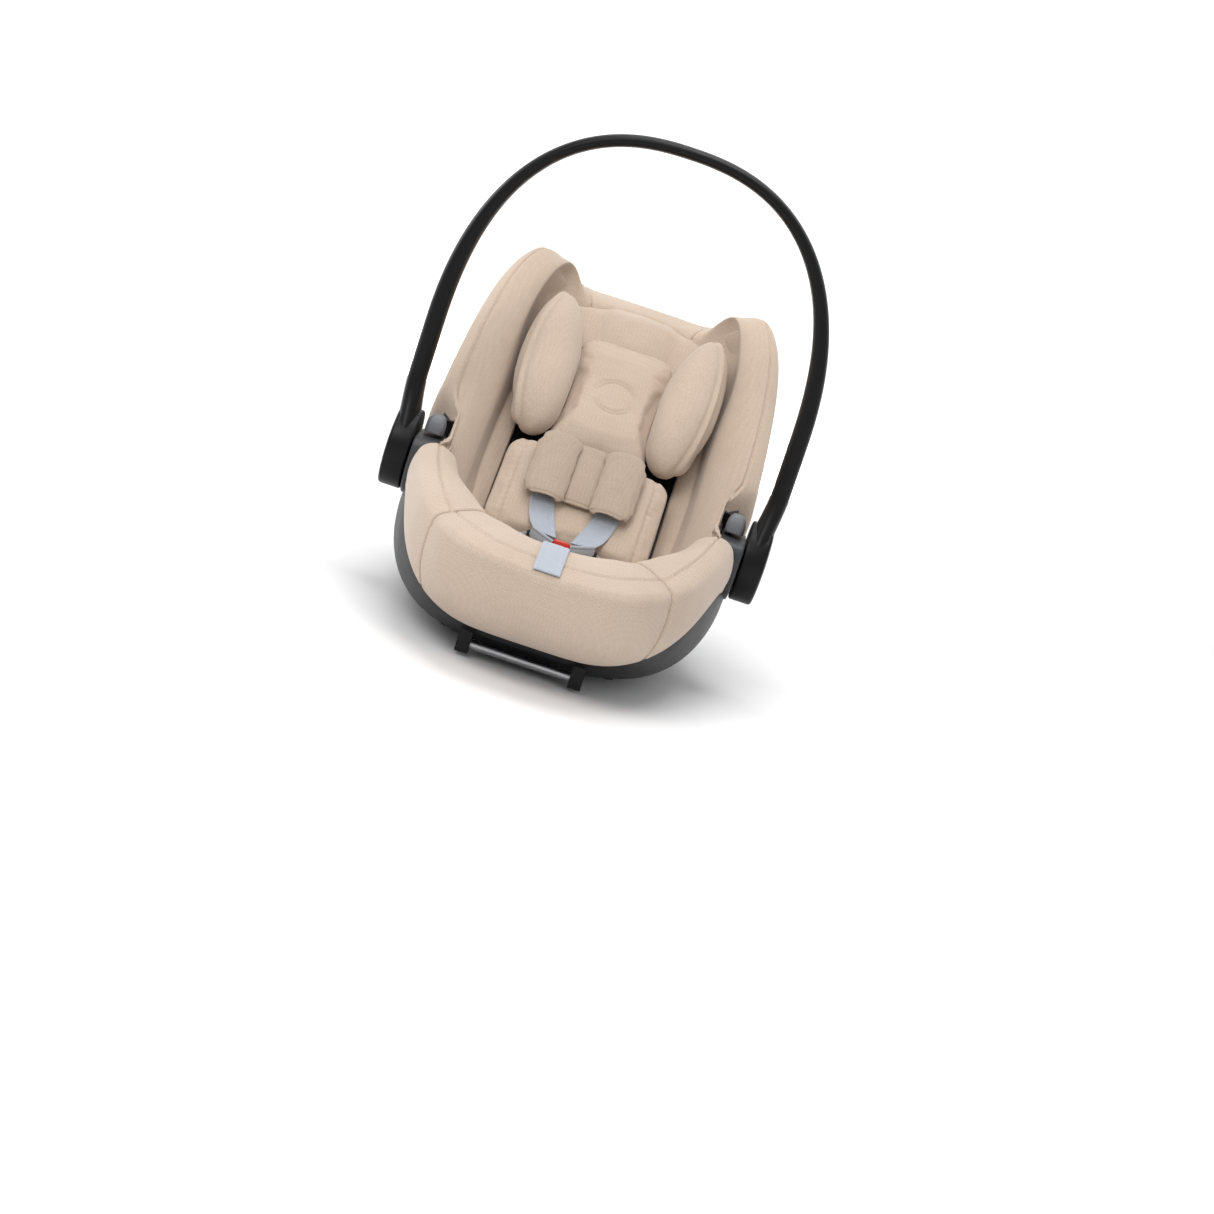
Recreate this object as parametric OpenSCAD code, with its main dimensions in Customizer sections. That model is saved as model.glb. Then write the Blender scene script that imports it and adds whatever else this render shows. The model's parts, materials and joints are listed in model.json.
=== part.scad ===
// Infant car seat: carrier shell, swinging carry handle, sliding headrest and five-point harness.
// Millimetres. The seat faces -Y, stands on Z = 0 and is centred on X and Y.

/* [Carrier] */
// Length of the shell from its centre to each end
shell_half_length = 322; // [300:1:345]
// Half width of the rim beside the handle pivots
rim_half_width = 172; // [160:1:185]
// How much wider the head end is than the middle, and the foot end narrower
rim_taper = 18; // [10:1:30]
// How far the sides bulge below the rim
side_bulge = 15; // [5:1:18]
// Height of the rim at the foot end
foot_rim = 141; // [125:1:165]
// Rise of the rim from the foot end to the handle pivots
side_rise = 38; // [30:1:60]
// Rise of the rim from the pivots to the head wings
back_rise = 213; // [180:1:225]
// Dip of the rim between the two head wings
top_dip = 41; // [25:1:60]
// Wall of the outer shell
shell_wall = 4; // [3:0.5:6]
// Thickness of the foam liner
liner_wall = 17; // [12:1:19]
// Height of the feet
foot_height = 4; // [3:0.5:8]
// Radius of each foot
foot_radius = 14; // [10:1:20]

/* [Cover] */
// Depth of the padding inside the rim
pad_depth = 48; // [40:1:54]
// How much further in the padding reaches at its foot, beside the pivots
pad_lean = 24; // [0:1:26]
// Thickness of the cover outside the shell
skirt = 7; // [4:0.5:9]
// Rise of the cover over the shell's rim
cover_rise = 13; // [8:1:20]
// Extra depth of the padding at the foot end
foot_pad = 26; // [10:1:34]
// Fall of the foot end's padding from its inner edge to its outer edge
foot_fall = 13; // [5:1:20]

/* [Handle] */
// Height of the pivots over the floor
pivot_height = 150; // [140:1:165]
// Half width of the handle at its sides, to the middle of the tube
hoop_half_width = 209; // [206:1:225]
// Height of the top of the handle
handle_top = 557; // [545:1:620]
// Width of the tube along the seat
tube_depth = 34; // [24:1:40]
// Thickness of the tube at the sides
tube_side = 21; // [16:1:22]
// Thickness of the tube at the top
tube_top = 14; // [10:1:18]
// Radius of the round lobe at each pivot
lobe_radius = 45; // [38:1:47]
// Inner face of each lobe
lobe_inner = 190; // [190:0.5:193]
// Thickness of each lobe without its cover
lobe_wall = 24; // [20:1:28]
// Thickness of each lobe cover
lobe_cover_wall = 4; // [3:0.5:6]
// Radius of the pivot pins
pin_radius = 8; // [6:0.5:9]

/* [Backrest] */
// Angle of the backrest from the floor
back_angle = 40; // [36:1:44]
// Length of the headrest panel
headrest_length = 184; // [165:1:190]
// Half width of the headrest panel between the bolsters
headrest_half_width = 50; // [46:1:54]
// Travel of the headrest
headrest_travel = 45; // [20:1:46]
// Radius of the guide rods
rod_radius = 4; // [3:0.5:5]

/* [Harness] */
// Width of the harness webbing
webbing = 28; // [22:1:32]
// Thickness of the harness webbing
webbing_wall = 2; // [1.5:0.1:2.4]
// Half width of the buckle
buckle_half_width = 22; // [18:1:26]
// Travel of the two handle buttons
handle_button_travel = 4; // [2:0.5:4]
// Travel of the buckle's red button
buckle_travel = 3; // [2:0.5:3.5]

/* [Hidden] */
$fn = 64;

// Gap between neighbouring layers, and between pieces that move past each other
layer_gap = 1.3;
run_gap = 0.4;
// Radial clearance of a running fit
fit_gap = 0.05;
// How much longer the foot end is than the head end, under the cover
foot_lead = 3.54;
// Degrees between two stations around the rim
rim_step = 7.5;
// Squareness of the plan, and of the walls at the sides and at the ends
plan_power = 2.4;
side_power = 5;
end_power = 2.3;
// Share of the plan that the flat floor keeps at the sides and at the ends
side_floor = 0.7;
end_floor = 0.48;
// Depth of the shell's and the liner's rims under the crest of the cover
shell_drop = cover_rise + layer_gap;
liner_drop = shell_drop + 4;
liner_outer = shell_wall + layer_gap;
liner_inner = liner_outer + liner_wall;
pad_back = liner_inner + layer_gap;

function power(v, e) = sign(v) * pow(abs(v), e);
function plan_x(a) = power(cos(a), 2 / plan_power);
function plan_y(a) = power(sin(a), 2 / plan_power);
function ease(from, to, v) = let (t = max(0, min(1, (v - from) / (to - from)))) t * t * (3 - 2 * t);

// Height of the cover's crest at angle a: 0 is +X, 90 the head end, -90 the foot end
function crest(a) = let (s = plan_y(a))
  foot_rim + side_rise * ease(-1, 0, s) + back_rise * ease(-0.1, 0.84, s) - top_dip * ease(0.72, 1, s);

// Padding's depth inside the rim, and its fall towards the outside, at angle a
function foot_share(a) = 1 - ease(-1, -0.3, plan_y(a));
function pad(a) = pad_depth + foot_pad * foot_share(a);
function fall(a) = foot_fall * foot_share(a);
function lean(a) = pad_lean * (1 - pow(plan_y(a), 2));

// Share of the plan left at depth share h, from 0 at the crest to 1 at the floor
function wall_share(a, h) = let (
    e = pow(plan_y(a), 2),
    p = side_power + (end_power - side_power) * e,
    f = side_floor + (end_floor - side_floor) * e)
  pow(1 - (1 - pow(f, p)) * pow(h, p), 1 / p);

// Point at angle a, depth d under the crest and distance inward o from the shell's outer face
function bowl_point(a, d, o) = let (
    c = crest(a) - foot_height,
    h = max(0, min(1, d / c)),
    k = wall_share(a, h),
    s = plan_y(a),
    w = rim_half_width + rim_taper * s + side_bulge * sin(180 * h) * (1 - s * s) - o)
  [w * k * plan_x(a), (shell_half_length + (s < 0 ? foot_lead : 0) - o) * k * s,
    foot_height + c - d + max(0, o) * h];

// Triangles of a quad, clockwise seen from outside
function quad(a, b, c, d) = [[a, c, b], [a, d, c]];

// Closed skin over rings of equal, even length, capped at both ends by strips
module skin(rows) {
  m = len(rows);
  n = len(rows[0]);
  sides = [for (i = [0:m - 2], j = [0:n - 1])
    each quad(i * n + j, i * n + (j + 1) % n, (i + 1) * n + (j + 1) % n, (i + 1) * n + j)];
  first = [for (j = [0:n / 2 - 2]) each quad(j, n - 1 - j, n - 2 - j, j + 1)];
  k = (m - 1) * n;
  last = [for (j = [0:n / 2 - 2]) each quad(k + j, k + j + 1, k + n - 2 - j, k + n - 1 - j)];
  polyhedron([for (row = rows) each row], concat(sides, first, last), convexity = 8);
}

// Depth shares of the rings down a wall, closer together near the floor
function wall_rings(count) = [for (i = [0:count]) 1 - pow(1 - i / count, 1.3)];

// One ring of the bowl at offset o; t runs from 0 at depth "drop" to 1 at the floor
function bowl_ring(o, drop, t) = [for (a = [0:rim_step:359])
  let (full = crest(a) - foot_height, top = drop + fall(a)) bowl_point(a, top + (full - top) * t, o)];

// Bowl-shaped wall between two offsets, with a flat floor
module bowl(outer, inner, drop) {
  rings = wall_rings(9);
  skin(concat(
    [for (i = [9:-1:0]) bowl_ring(outer, drop, rings[i])],
    [for (i = [0:9]) bowl_ring(inner, drop, rings[i])]));
}

// The bowl filled solid up to its rim, grown outward by a gap
module bowl_fill(gap) {
  rings = wall_rings(9);
  skin([for (i = [9:-1:0]) bowl_ring(-gap, shell_drop, rings[i])]);
}

// Depth under the crest of a point at height z and offset o
function depth_at(a, z, o) = (crest(a) - z) / (1 - o / (crest(a) - foot_height));

// Height where the padding's inner leg meets the backrest or the seat cushion
function leg_end(a) = let (y = (shell_half_length - pad(a)) * plan_y(a))
  max(cushion_top + 6, back_z + ((y - back_y) * sin(back_angle) - 20) / cos(back_angle));
function leg_depth(a) = depth_at(a, leg_end(a), pad(a) + lean(a));

// Depth of the cover's outer edge under its crest: level round the head end, deeper towards the foot end
side_skirt = 50;
head_skirt = 66;
foot_skirt = 104;
function skirt_depth(a) = let (s = plan_y(a)) side_skirt + (head_skirt - side_skirt) * ease(0, 0.2, s)
  + (foot_skirt - side_skirt) * (1 - ease(-0.95, -0.3, s));

// Padded cover over the rim from angle a1 to a2
module saddle(a1, a2) {
  steps = ceil((a2 - a1) / rim_step);
  skin([for (i = [0:steps]) let (
      a = a1 + (a2 - a1) * i / steps,
      out_d = skirt_depth(a),
      leg = leg_depth(a),
      f = fall(a),
      top = f + cover_rise,
      low = max(top + 6, depth_at(a, leg_end(a), pad_back)),
      seen = [for (t = [1, 0.8, 0.6]) [pad(a) + lean(a) * t, leg * t], [pad(a) + lean(a) * 0.2, leg * 0.4],
        [pad(a) - 7, min(8, leg * 0.3)], [pad(a) - 20, 0], [6, f], [-skirt + 2, f + 6],
        for (t = [0:6]) [-skirt, f + 22 + (out_d - f - 22) * t / 6]],
      back = [for (t = [6:-1:0]) [-layer_gap, f + 22 + (out_d - f - 22) * t / 6],
        [-layer_gap, top], [6, top], [pad_back - 3, top], [pad_back, top + 4],
        for (t = [1:4]) [pad_back, top + 4 + (low - top - 4) * t / 4]])
    [for (q = concat(seen, back)) bowl_point(a, q[1], q[0])]]);
}

// A cylinder along X between two places
module bar_x(radius, from, to) {
  translate([from, 0, 0]) rotate([0, 90, 0]) cylinder(r = radius, h = to - from);
}

// Both sides of something made for +X
module both_sides() {
  children();
  mirror([1, 0, 0]) children();
}

// Pivot housings and the pockets around them
housing_radius = lobe_radius + 2.5;
housing_inner = 162;
housing_outer = lobe_inner - 1.5;
housing_top = pivot_height + housing_radius - 25.5;
cap_inner = 162.5;
cap_outer = 184;
cap_top = housing_top + 25;
cap_half_length = 14;
cap_bottom = housing_top + handle_button_travel + run_gap;
stem_radius = 5;
stem_length = 10;
stem_x = 173;

module pivot_pocket(gap, inner) {
  both_sides() translate([0, 0, pivot_height]) bar_x(housing_radius + gap, inner, lobe_inner + 10);
}

module outer_shell() color("#1c1c1d") difference() {
  bowl(0, shell_wall, shell_drop);
  pivot_pocket(0.5, housing_inner - 20);
}

module foam_liner() color("#3a3a3c") difference() {
  bowl(liner_outer, liner_inner, liner_drop);
  pivot_pocket(layer_gap, housing_inner - 30);
}

module pivot_housing() color("#4a4b4e") difference() {
  translate([0, 0, pivot_height]) bar_x(housing_radius, housing_inner, housing_outer);
  translate([housing_inner - 5, -60, housing_top]) cube([60, 120, 60]);
  translate([0, 0, pivot_height]) bar_x(pin_radius + fit_gap, housing_inner - 5, housing_outer + 5);
  translate([stem_x, 0, cap_bottom - stem_length - handle_button_travel - 1])
    cylinder(r = stem_radius + fit_gap, h = 60);
}
module pivot_housing_right() pivot_housing();
module pivot_housing_left() mirror([1, 0, 0]) pivot_housing();

// Button cap with a domed top and a stem that runs down into the housing
module handle_button() color("#8b8d91") {
  translate([0, 0, cap_bottom]) {
    intersection() {
      translate([cap_inner, -cap_half_length, 0])
        cube([cap_outer - cap_inner, 2 * cap_half_length, cap_top - cap_bottom]);
      translate([0, 0, cap_top - cap_bottom - 28]) bar_x(28, cap_inner, cap_outer);
    }
    translate([stem_x, 0, -stem_length]) cylinder(r = stem_radius, h = stem_length);
  }
}
module handle_button_right() handle_button();
module handle_button_left() mirror([1, 0, 0]) handle_button();

// Carry handle: straight sides up to hoop_spring, then half a superellipse
hoop_spring = 285;
hoop_power = 2.4;
hoop_foot = pivot_height + 18;
hoop_rise = handle_top - tube_top / 2 - hoop_spring;
function hoop_middle(a) = [hoop_half_width * power(cos(a), 2 / hoop_power),
  hoop_spring + hoop_rise * power(sin(a), 2 / hoop_power)];
function hoop_ring(middle, along, wall, depth) = [for (b = [0:30:359])
  let (reach = wall / 2 * power(cos(b), 0.8))
  [middle[0] + reach * along[1], depth / 2 * power(sin(b), 0.8), middle[1] - reach * along[0]]];
function hoop_station(a) = let (
    near = hoop_middle(max(0, a - 1)),
    far = hoop_middle(min(180, a + 1)),
    step = far - near)
  hoop_ring(hoop_middle(a), step / norm(step), tube_top + (tube_side - tube_top) * abs(cos(a)), tube_depth);

module carry_handle() color("#161617") {
  foot_right = [for (i = [0:3]) hoop_ring([hoop_half_width, hoop_foot + (hoop_spring - hoop_foot) * i / 4],
    [0, 1], tube_side, tube_depth + 22 * pow(1 - i / 4, 3))];
  foot_left = [for (i = [3:-1:0]) hoop_ring([-hoop_half_width, hoop_foot + (hoop_spring - hoop_foot) * i / 4],
    [0, -1], tube_side, tube_depth + 22 * pow(1 - i / 4, 3))];
  difference() {
    union() {
      skin(concat(foot_right, [for (a = [1:(178 / 36):179.5]) hoop_station(a)], foot_left));
      both_sides() translate([0, 0, pivot_height]) bar_x(lobe_radius, lobe_inner, lobe_inner + lobe_wall);
    }
    both_sides() translate([0, 0, pivot_height]) {
      bar_x(pin_radius, lobe_inner - 5, lobe_inner + 12);
      bar_x(lobe_radius - 5, lobe_inner + lobe_wall, lobe_inner + lobe_wall + 20);
    }
  }
}

module lobe_cover() color("#202021") translate([0, 0, pivot_height])
  bar_x(lobe_radius - 5 - run_gap, lobe_inner + lobe_wall, lobe_inner + lobe_wall + lobe_cover_wall);
module lobe_cover_right() lobe_cover();
module lobe_cover_left() mirror([1, 0, 0]) lobe_cover();

module pivot_pin() color("#9a9ca0") translate([0, 0, pivot_height])
  bar_x(pin_radius, housing_inner + 2, lobe_inner + 12);
module pivot_pin_right() pivot_pin();
module pivot_pin_left() mirror([1, 0, 0]) pivot_pin();

// Underside: feet, latch bars in their mounts, and the release lever
foot_x = 84;
foot_y = 105;
latch_radius = 5;
latch_half_length = 62;
front_latch_y = 100 - shell_half_length;
rear_latch_y = shell_half_length - 126;
front_latch_z = 13;
rear_latch_z = 18;
lever_half_width = 45;
lever_pin_radius = 3;
lever_y = shell_half_length - 37;
lever_z = 128;

module feet() color("#2c2c2e") for (x = [-foot_x, foot_x], y = [-foot_y, foot_y])
  translate([x, y, 0]) difference() {
    cylinder(r = foot_radius, h = foot_height);
    translate([0, 0, -1]) cylinder(r = 4.5, h = 3);
    cylinder(r = 2, h = 20);
  }

module foot_screws() color("#b4b6b9") for (x = [-foot_x, foot_x], y = [-foot_y, foot_y])
  translate([x, y, 0]) {
    translate([0, 0, 0.4]) cylinder(r = 4.3, h = 1.6);
    translate([0, 0, 1]) cylinder(r = 1.9, h = foot_height - 1);
  }

// Two lugs under the shell, cut to its underside, with a cross bar between them
module latch_mount(y, z) color("#242426") difference() {
  both_sides() translate([latch_half_length - 8, y - 10, z - 9]) cube([14, 20, 34]);
  bowl_fill(0.5);
  translate([0, y, z]) bar_x(latch_radius, -latch_half_length, latch_half_length);
}
module front_latch_mount() latch_mount(front_latch_y, front_latch_z);
module rear_latch_mount() latch_mount(rear_latch_y, rear_latch_z);
module latch_bar(y, z) color("#b9bbbf") translate([0, y, z])
  bar_x(latch_radius, -latch_half_length, latch_half_length);
module front_latch_bar() latch_bar(front_latch_y, front_latch_z);
module rear_latch_bar() latch_bar(rear_latch_y, rear_latch_z);

module release_lever() color("#5b5d61") translate([0, lever_y, lever_z]) difference() {
  union() {
    bar_x(6, -lever_half_width, lever_half_width);
    translate([-lever_half_width, -4, -42]) cube([2 * lever_half_width, 7, 42]);
  }
  bar_x(lever_pin_radius + fit_gap, -60, 60);
  translate([-lever_half_width + 12, -10, -34]) cube([2 * lever_half_width - 24, 20, 16]);
}
module release_lever_mount() color("#b4b6b9") {
  translate([0, lever_y, lever_z]) bar_x(lever_pin_radius, -lever_half_width - 9, lever_half_width + 9);
  difference() {
    both_sides() translate([lever_half_width + 1, lever_y - 30, lever_z - 6]) cube([8, 38, 12]);
    bowl_fill(0.5);
  }
}

// Backrest frame: X across, Y up along the backrest, Z out of its face
back_y = -60;
back_z = 85;
panel_bottom = 160;
panel_top = panel_bottom + headrest_length;
rod_x = 56;
rod_depth = -14;
rod_bottom = 150;
rod_top = panel_top + headrest_travel + 1;
board_bottom = panel_bottom + 14;
board_top = panel_top - 8;

module on_back() translate([0, back_y, back_z]) rotate([back_angle, 0, 0]) children();

// Block with rounded sides: from [x, v, w] corner to corner, corners of radius r seen from the front
module pillow(low, high, r) translate([0, 0, low[2]]) linear_extrude(high[2] - low[2])
  translate([low[0] + r, low[1] + r]) offset(r)
    square([high[0] - low[0] - 2 * r, high[1] - low[1] - 2 * r]);

module back_support() color("#4a4a4c") rotate([90, 0, 90]) translate([0, 0, -68]) linear_extrude(136)
  polygon([[-20, 34], [70, 34], [150, 90], [222, 200], [254, 296], [226, 288], [-34, 70]]);

module back_panel() color("#2b2b2d") on_back() difference() {
  union() {
    translate([0, 0, -26]) linear_extrude(3.5)
      polygon([[108, 20], [108, 260], [72, rod_top + 3], [-72, rod_top + 3], [-108, 260], [-108, 20]]);
    both_sides() {
      translate([rod_x - 7, rod_bottom, -22.5]) cube([14, 6, 14]);
      translate([rod_x - 7, rod_top - 6, -22.5]) cube([14, 6, 14]);
    }
  }
  both_sides() translate([rod_x, rod_bottom, rod_depth]) rotate([-90, 0, 0])
    cylinder(r = rod_radius, h = rod_top - rod_bottom);
}

module guide_rods() color("#b9bbbf") on_back() both_sides()
  translate([rod_x, rod_bottom, rod_depth]) rotate([-90, 0, 0]) cylinder(r = rod_radius, h = rod_top - rod_bottom);

module headrest_board() color("#333336") on_back() difference() {
  translate([-70, board_bottom, -21]) cube([140, board_top - board_bottom, 12.5]);
  both_sides() translate([rod_x, board_bottom - 5, rod_depth]) rotate([-90, 0, 0])
    cylinder(r = rod_radius + fit_gap, h = 300);
  translate([-22, board_top - 34, -30]) cube([44, 60, 30]);
}

// Grip that the thumb pulls up in the board's notch
module headrest_grip() color("#8b8d91") on_back()
  pillow([-20, board_top - 30, -20], [20, board_top + 6, -10], 5);

// Panel between the bolsters, flared at its foot
module headrest_panel() color("#c9b5a2") on_back() translate([0, 0, -8]) linear_extrude(28) {
  w = headrest_half_width;
  polygon([[w - 6, panel_top], [w, panel_top - 8], [w, panel_bottom + 26], [w + 8, panel_bottom + 6],
    [w + 8, panel_bottom], [-w - 10, panel_bottom], [-w - 10, panel_bottom + 6], [-w, panel_bottom + 26],
    [-w, panel_top - 8], [-w + 6, panel_top]]);
}

// Egg-shaped pad beside the panel, grown by a gap and lengthened by the headrest's travel
bolster_size = [74, headrest_length + 40, 76];
module egg(gap, travel) translate([headrest_half_width + 34, panel_bottom + 111 + travel / 2, 18])
  rotate([0, 0, -4]) resize(bolster_size + [2 * gap, 2 * gap + travel, 2 * gap]) sphere(50, $fn = 28);
module bolster() color("#d4c1af") on_back() intersection() {
  egg(0, 0);
  translate([headrest_half_width + run_gap, 0, -7.6]) cube([100, 500, 70]);
}
module bolster_right() bolster();
module bolster_left() mirror([1, 0, 0]) bolster();

// Cover pieces round the rim, with small gaps where their seams meet
wing_start = 1;
wing_end = 68;
arm_end = -44;
seam_angle = 0.6;
module rim_pad(a1, a2) difference() {
  saddle(a1, a2);
  translate([0, 0, pivot_height]) bar_x(housing_radius + 2.5, housing_inner - 2, 230);
  on_back() egg(4, headrest_travel);
}
module wing_right() color("#d0bca9") rim_pad(wing_start, wing_end);
module wing_left() mirror([1, 0, 0]) wing_right();
module top_panel() color("#cdb9a6") saddle(wing_end + seam_angle, 180 - wing_end - seam_angle);
module arm_cover_right() color("#d4c1af") rim_pad(arm_end, wing_start - seam_angle);
module arm_cover_left() mirror([1, 0, 0]) arm_cover_right();
module front_bumper() color("#cfbba8") saddle(-180 - arm_end + seam_angle, arm_end - seam_angle);

cushion_top = 84;
cushion_wall = 32;
cushion_y = back_y - 2;
// Distance from the cushion's end to the bumper's crest, along the seat
cushion_end_gap = 31.54;
module seat_cushion() color("#c4b09d") translate([0, cushion_y, cushion_top - cushion_wall]) {
  reach = shell_half_length + foot_lead - pad(-90) + cushion_y - cushion_end_gap;
  linear_extrude(cushion_wall) polygon(concat([[-104, 16]],
    [for (a = [-180:10:0]) [104 * plan_x(a), reach * plan_y(a)]], [[104, 16]]));
}

module back_cushion() color("#c4b09d") on_back()
  pillow([-94, 16, -22], [94, rod_bottom - 1, -1], 14);

module newborn_insert() color("#cbb7a4") on_back()
  pillow([-94, 12, 0], [94, panel_bottom - 3, 25], 22);

// Harness: pads over straps on the insert, tongues in the buckle, and the adjuster at the foot end
insert_top = 25;
strap_low = insert_top + run_gap;
pad_low = strap_low + webbing_wall + 0.5;
module harness_pad() color("#d4c1af") on_back()
  pillow([12, panel_bottom - 88, pad_low], [62, panel_bottom - 3, pad_low + 14], 12);
module harness_pad_right() harness_pad();
module harness_pad_left() mirror([1, 0, 0]) harness_pad();
module pad_bridge() color("#cbb7a4") on_back()
  pillow([-11.5, panel_bottom - 62, pad_low], [11.5, panel_bottom - 5, pad_low + 6], 4);

// Flat webbing along a path of points: side is half its width, up is its thickness
module ribbon(path, side, up) skin([for (p = path) [p - side, p + side, p + side + up, p - side + up]]);

module shoulder_strap() color("#c9d0da") on_back() translate([0, 0, strap_low]) linear_extrude(webbing_wall)
  polygon([for (p = [[39, 152], [39, 95], [36, 70], [30, 48], [22, 26]]) [p[0] + webbing / 2, p[1]],
    for (p = [[22, 26], [30, 48], [36, 70], [39, 95], [39, 152]]) [p[0] - webbing / 2, p[1]]]);
module shoulder_strap_right() shoulder_strap();
module shoulder_strap_left() mirror([1, 0, 0]) shoulder_strap();

buckle_front = -96;
buckle_back = -74;
buckle_low = 91;
buckle_high = 119;
tongue_y = -82;
module buckle_body() color("#3a3b3e") difference() {
  translate([0, buckle_back, 0]) rotate([90, 0, 0]) linear_extrude(buckle_back - buckle_front) hull() both_sides() {
    translate([buckle_half_width - 8, buckle_high - 8]) circle(8);
    translate([buckle_half_width - 10, buckle_low + 6]) circle(6);
  }
  translate([-buckle_half_width + 4, tongue_y - 1.4, buckle_high - 12]) cube([2 * buckle_half_width - 8, 2.8, 20]);
  translate([-11.4, buckle_front - 5, buckle_high - 19]) cube([22.8, 12, 30]);
}
module buckle_button() color("#c8342b") translate([-11, buckle_front - buckle_travel, buckle_high - 18.6])
  cube([22, 6, 19]);
module tongue() color("#3a3b3e") translate([0, tongue_y, 0]) difference() {
  translate([1, -1.2, buckle_high - 11]) cube([14, 2.4, 20]);
  translate([4, -5, buckle_high + 2]) cube([8, 10, 3]);
}
module tongue_right() tongue();
module tongue_left() mirror([1, 0, 0]) tongue();
module hip_strap() color("#c9d0da")
  ribbon([[24, -84, 112], [40, -86, 104], [64, -88, 93], [86, -88, 87]], [0, 14, 0], [0.4, 0, webbing_wall]);
module hip_strap_right() hip_strap();
module hip_strap_left() mirror([1, 0, 0]) hip_strap();
module crotch_strap() color("#c9d0da") translate([-webbing / 2 + 3, -87, cushion_top + 0.2])
  cube([webbing - 6, webbing_wall, buckle_low - cushion_top - 0.4]);

// Middle of the adjuster, set back from the bumper's inner face
adjuster_set_back = 85.54;
adjuster_y = adjuster_set_back + pad(-90) - shell_half_length - foot_lead;
module harness_adjuster() color("#2f3032") difference() {
  translate([-20, adjuster_y - 12, cushion_top + 0.2]) cube([40, 24, 10]);
  translate([-8.3, adjuster_y - 8.3, cushion_top + 4]) cube([16.6, 16.6, 20]);
}
module adjuster_button() color("#8b8d91") translate([-8, adjuster_y - 8, cushion_top + 8]) cube([16, 16, 5]);

// Pull strap out of the adjuster, up the bumper's inner face and over its top
strap_gap = run_gap + pow(webbing, 2) / 560;
module adjuster_strap() color("#c9d0da") {
  p = pad(-90);
  low = leg_depth(-90);
  climb = [for (q = [[p, low], [p, low * 0.8], [p, low * 0.6], [p, low * 0.45], [p - 7, 8]]) bowl_point(-90, q[1], q[0])];
  over = [for (q = [[p - 20, 0], [6, foot_fall], [0, foot_fall + 3]]) bowl_point(-90, q[1], q[0])];
  start = [0, adjuster_y - 13, cushion_top + 1];
  line = concat([[start, [0, 0, 1]]],
    [for (q = climb) [q + [0, strap_gap, 0.5], [0, 1, 0]]],
    [for (q = over) [q + [0, 0, strap_gap], [0, 0, 1]]]);
  skin([for (q = line) let (up = q[1] * webbing_wall, side = [webbing / 2, 0, 0], m = q[0])
    [m - side, m + side, m + side + up, m - side + up]]);
}

outer_shell();
foam_liner();
back_support();
back_panel();
guide_rods();
pivot_housing_left();
pivot_housing_right();
front_latch_mount();
rear_latch_mount();
front_latch_bar();
rear_latch_bar();
release_lever();
release_lever_mount();
feet();
foot_screws();
carry_handle();
lobe_cover_left();
lobe_cover_right();
pivot_pin_left();
pivot_pin_right();
handle_button_left();
handle_button_right();
headrest_board();
headrest_panel();
bolster_left();
bolster_right();
headrest_grip();
wing_left();
wing_right();
top_panel();
arm_cover_left();
arm_cover_right();
front_bumper();
seat_cushion();
back_cushion();
newborn_insert();
shoulder_strap_left();
shoulder_strap_right();
harness_pad_left();
harness_pad_right();
pad_bridge();
hip_strap_left();
hip_strap_right();
tongue_left();
tongue_right();
buckle_body();
buckle_button();
crotch_strap();
adjuster_strap();
harness_adjuster();
adjuster_button();
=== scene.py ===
import json
import math
import bpy
import numpy as np
from mathutils import Matrix, Vector


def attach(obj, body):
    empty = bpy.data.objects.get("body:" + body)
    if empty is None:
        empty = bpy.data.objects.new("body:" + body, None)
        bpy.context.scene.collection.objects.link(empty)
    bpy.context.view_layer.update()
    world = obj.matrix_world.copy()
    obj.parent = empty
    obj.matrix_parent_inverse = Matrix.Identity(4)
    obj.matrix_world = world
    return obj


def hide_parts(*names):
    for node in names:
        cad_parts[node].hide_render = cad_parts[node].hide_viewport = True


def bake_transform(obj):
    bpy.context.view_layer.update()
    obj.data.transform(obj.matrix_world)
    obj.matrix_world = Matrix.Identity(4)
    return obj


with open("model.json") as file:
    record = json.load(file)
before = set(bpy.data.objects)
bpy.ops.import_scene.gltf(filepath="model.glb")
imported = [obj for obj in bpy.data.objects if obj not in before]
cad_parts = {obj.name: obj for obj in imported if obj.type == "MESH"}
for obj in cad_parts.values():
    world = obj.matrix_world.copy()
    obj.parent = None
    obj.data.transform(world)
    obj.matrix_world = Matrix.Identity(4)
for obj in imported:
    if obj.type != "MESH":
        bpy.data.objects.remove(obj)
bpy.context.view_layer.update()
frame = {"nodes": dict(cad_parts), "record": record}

bodyOf = {node: body for body, nodes in frame["record"]["behaviour"]["bodies"].items() for node in nodes}
slotOf = {row["node"]: row["material_slot"] for row in frame["record"]["subparts"]}


# ---- Carrier: the rim and the walls, in metres. Angle 0 is +X, 90 the head end, -90 the foot end
carrier = {
    "halfLength": 0.322, "footLead": 0.00354, "rimHalfWidth": 0.172, "rimTaper": 0.018, "sideBulge": 0.015,
    "footRim": 0.141, "sideRise": 0.038, "backRise": 0.213, "topDip": 0.041, "footHeight": 0.004,
    "shellWall": 0.004, "padDepth": 0.048, "footPad": 0.026, "footFall": 0.013, "skirt": 0.007,
    "coverRise": 0.013, "layerGap": 0.0013, "linerWall": 0.017,
    "planPower": 2.4, "sidePower": 5.0, "endPower": 2.3, "sideFloor": 0.70, "endFloor": 0.48,
    "pivotHeight": 0.150, "backY": -0.060, "backZ": 0.085, "backAngle": math.radians(40), "cushionTop": 0.084,
    "lean": 0.024, "sideSkirt": 0.050, "headSkirt": 0.066, "footSkirt": 0.104,
}


def power(v, e):
    return np.sign(v) * np.abs(v) ** e


def ease(low, high, v):
    # smooth step: 3 t squared minus 2 t cubed between low and high
    t = np.clip((v - low) / (high - low), 0, 1)
    return t * t * (3 - 2 * t)


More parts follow.
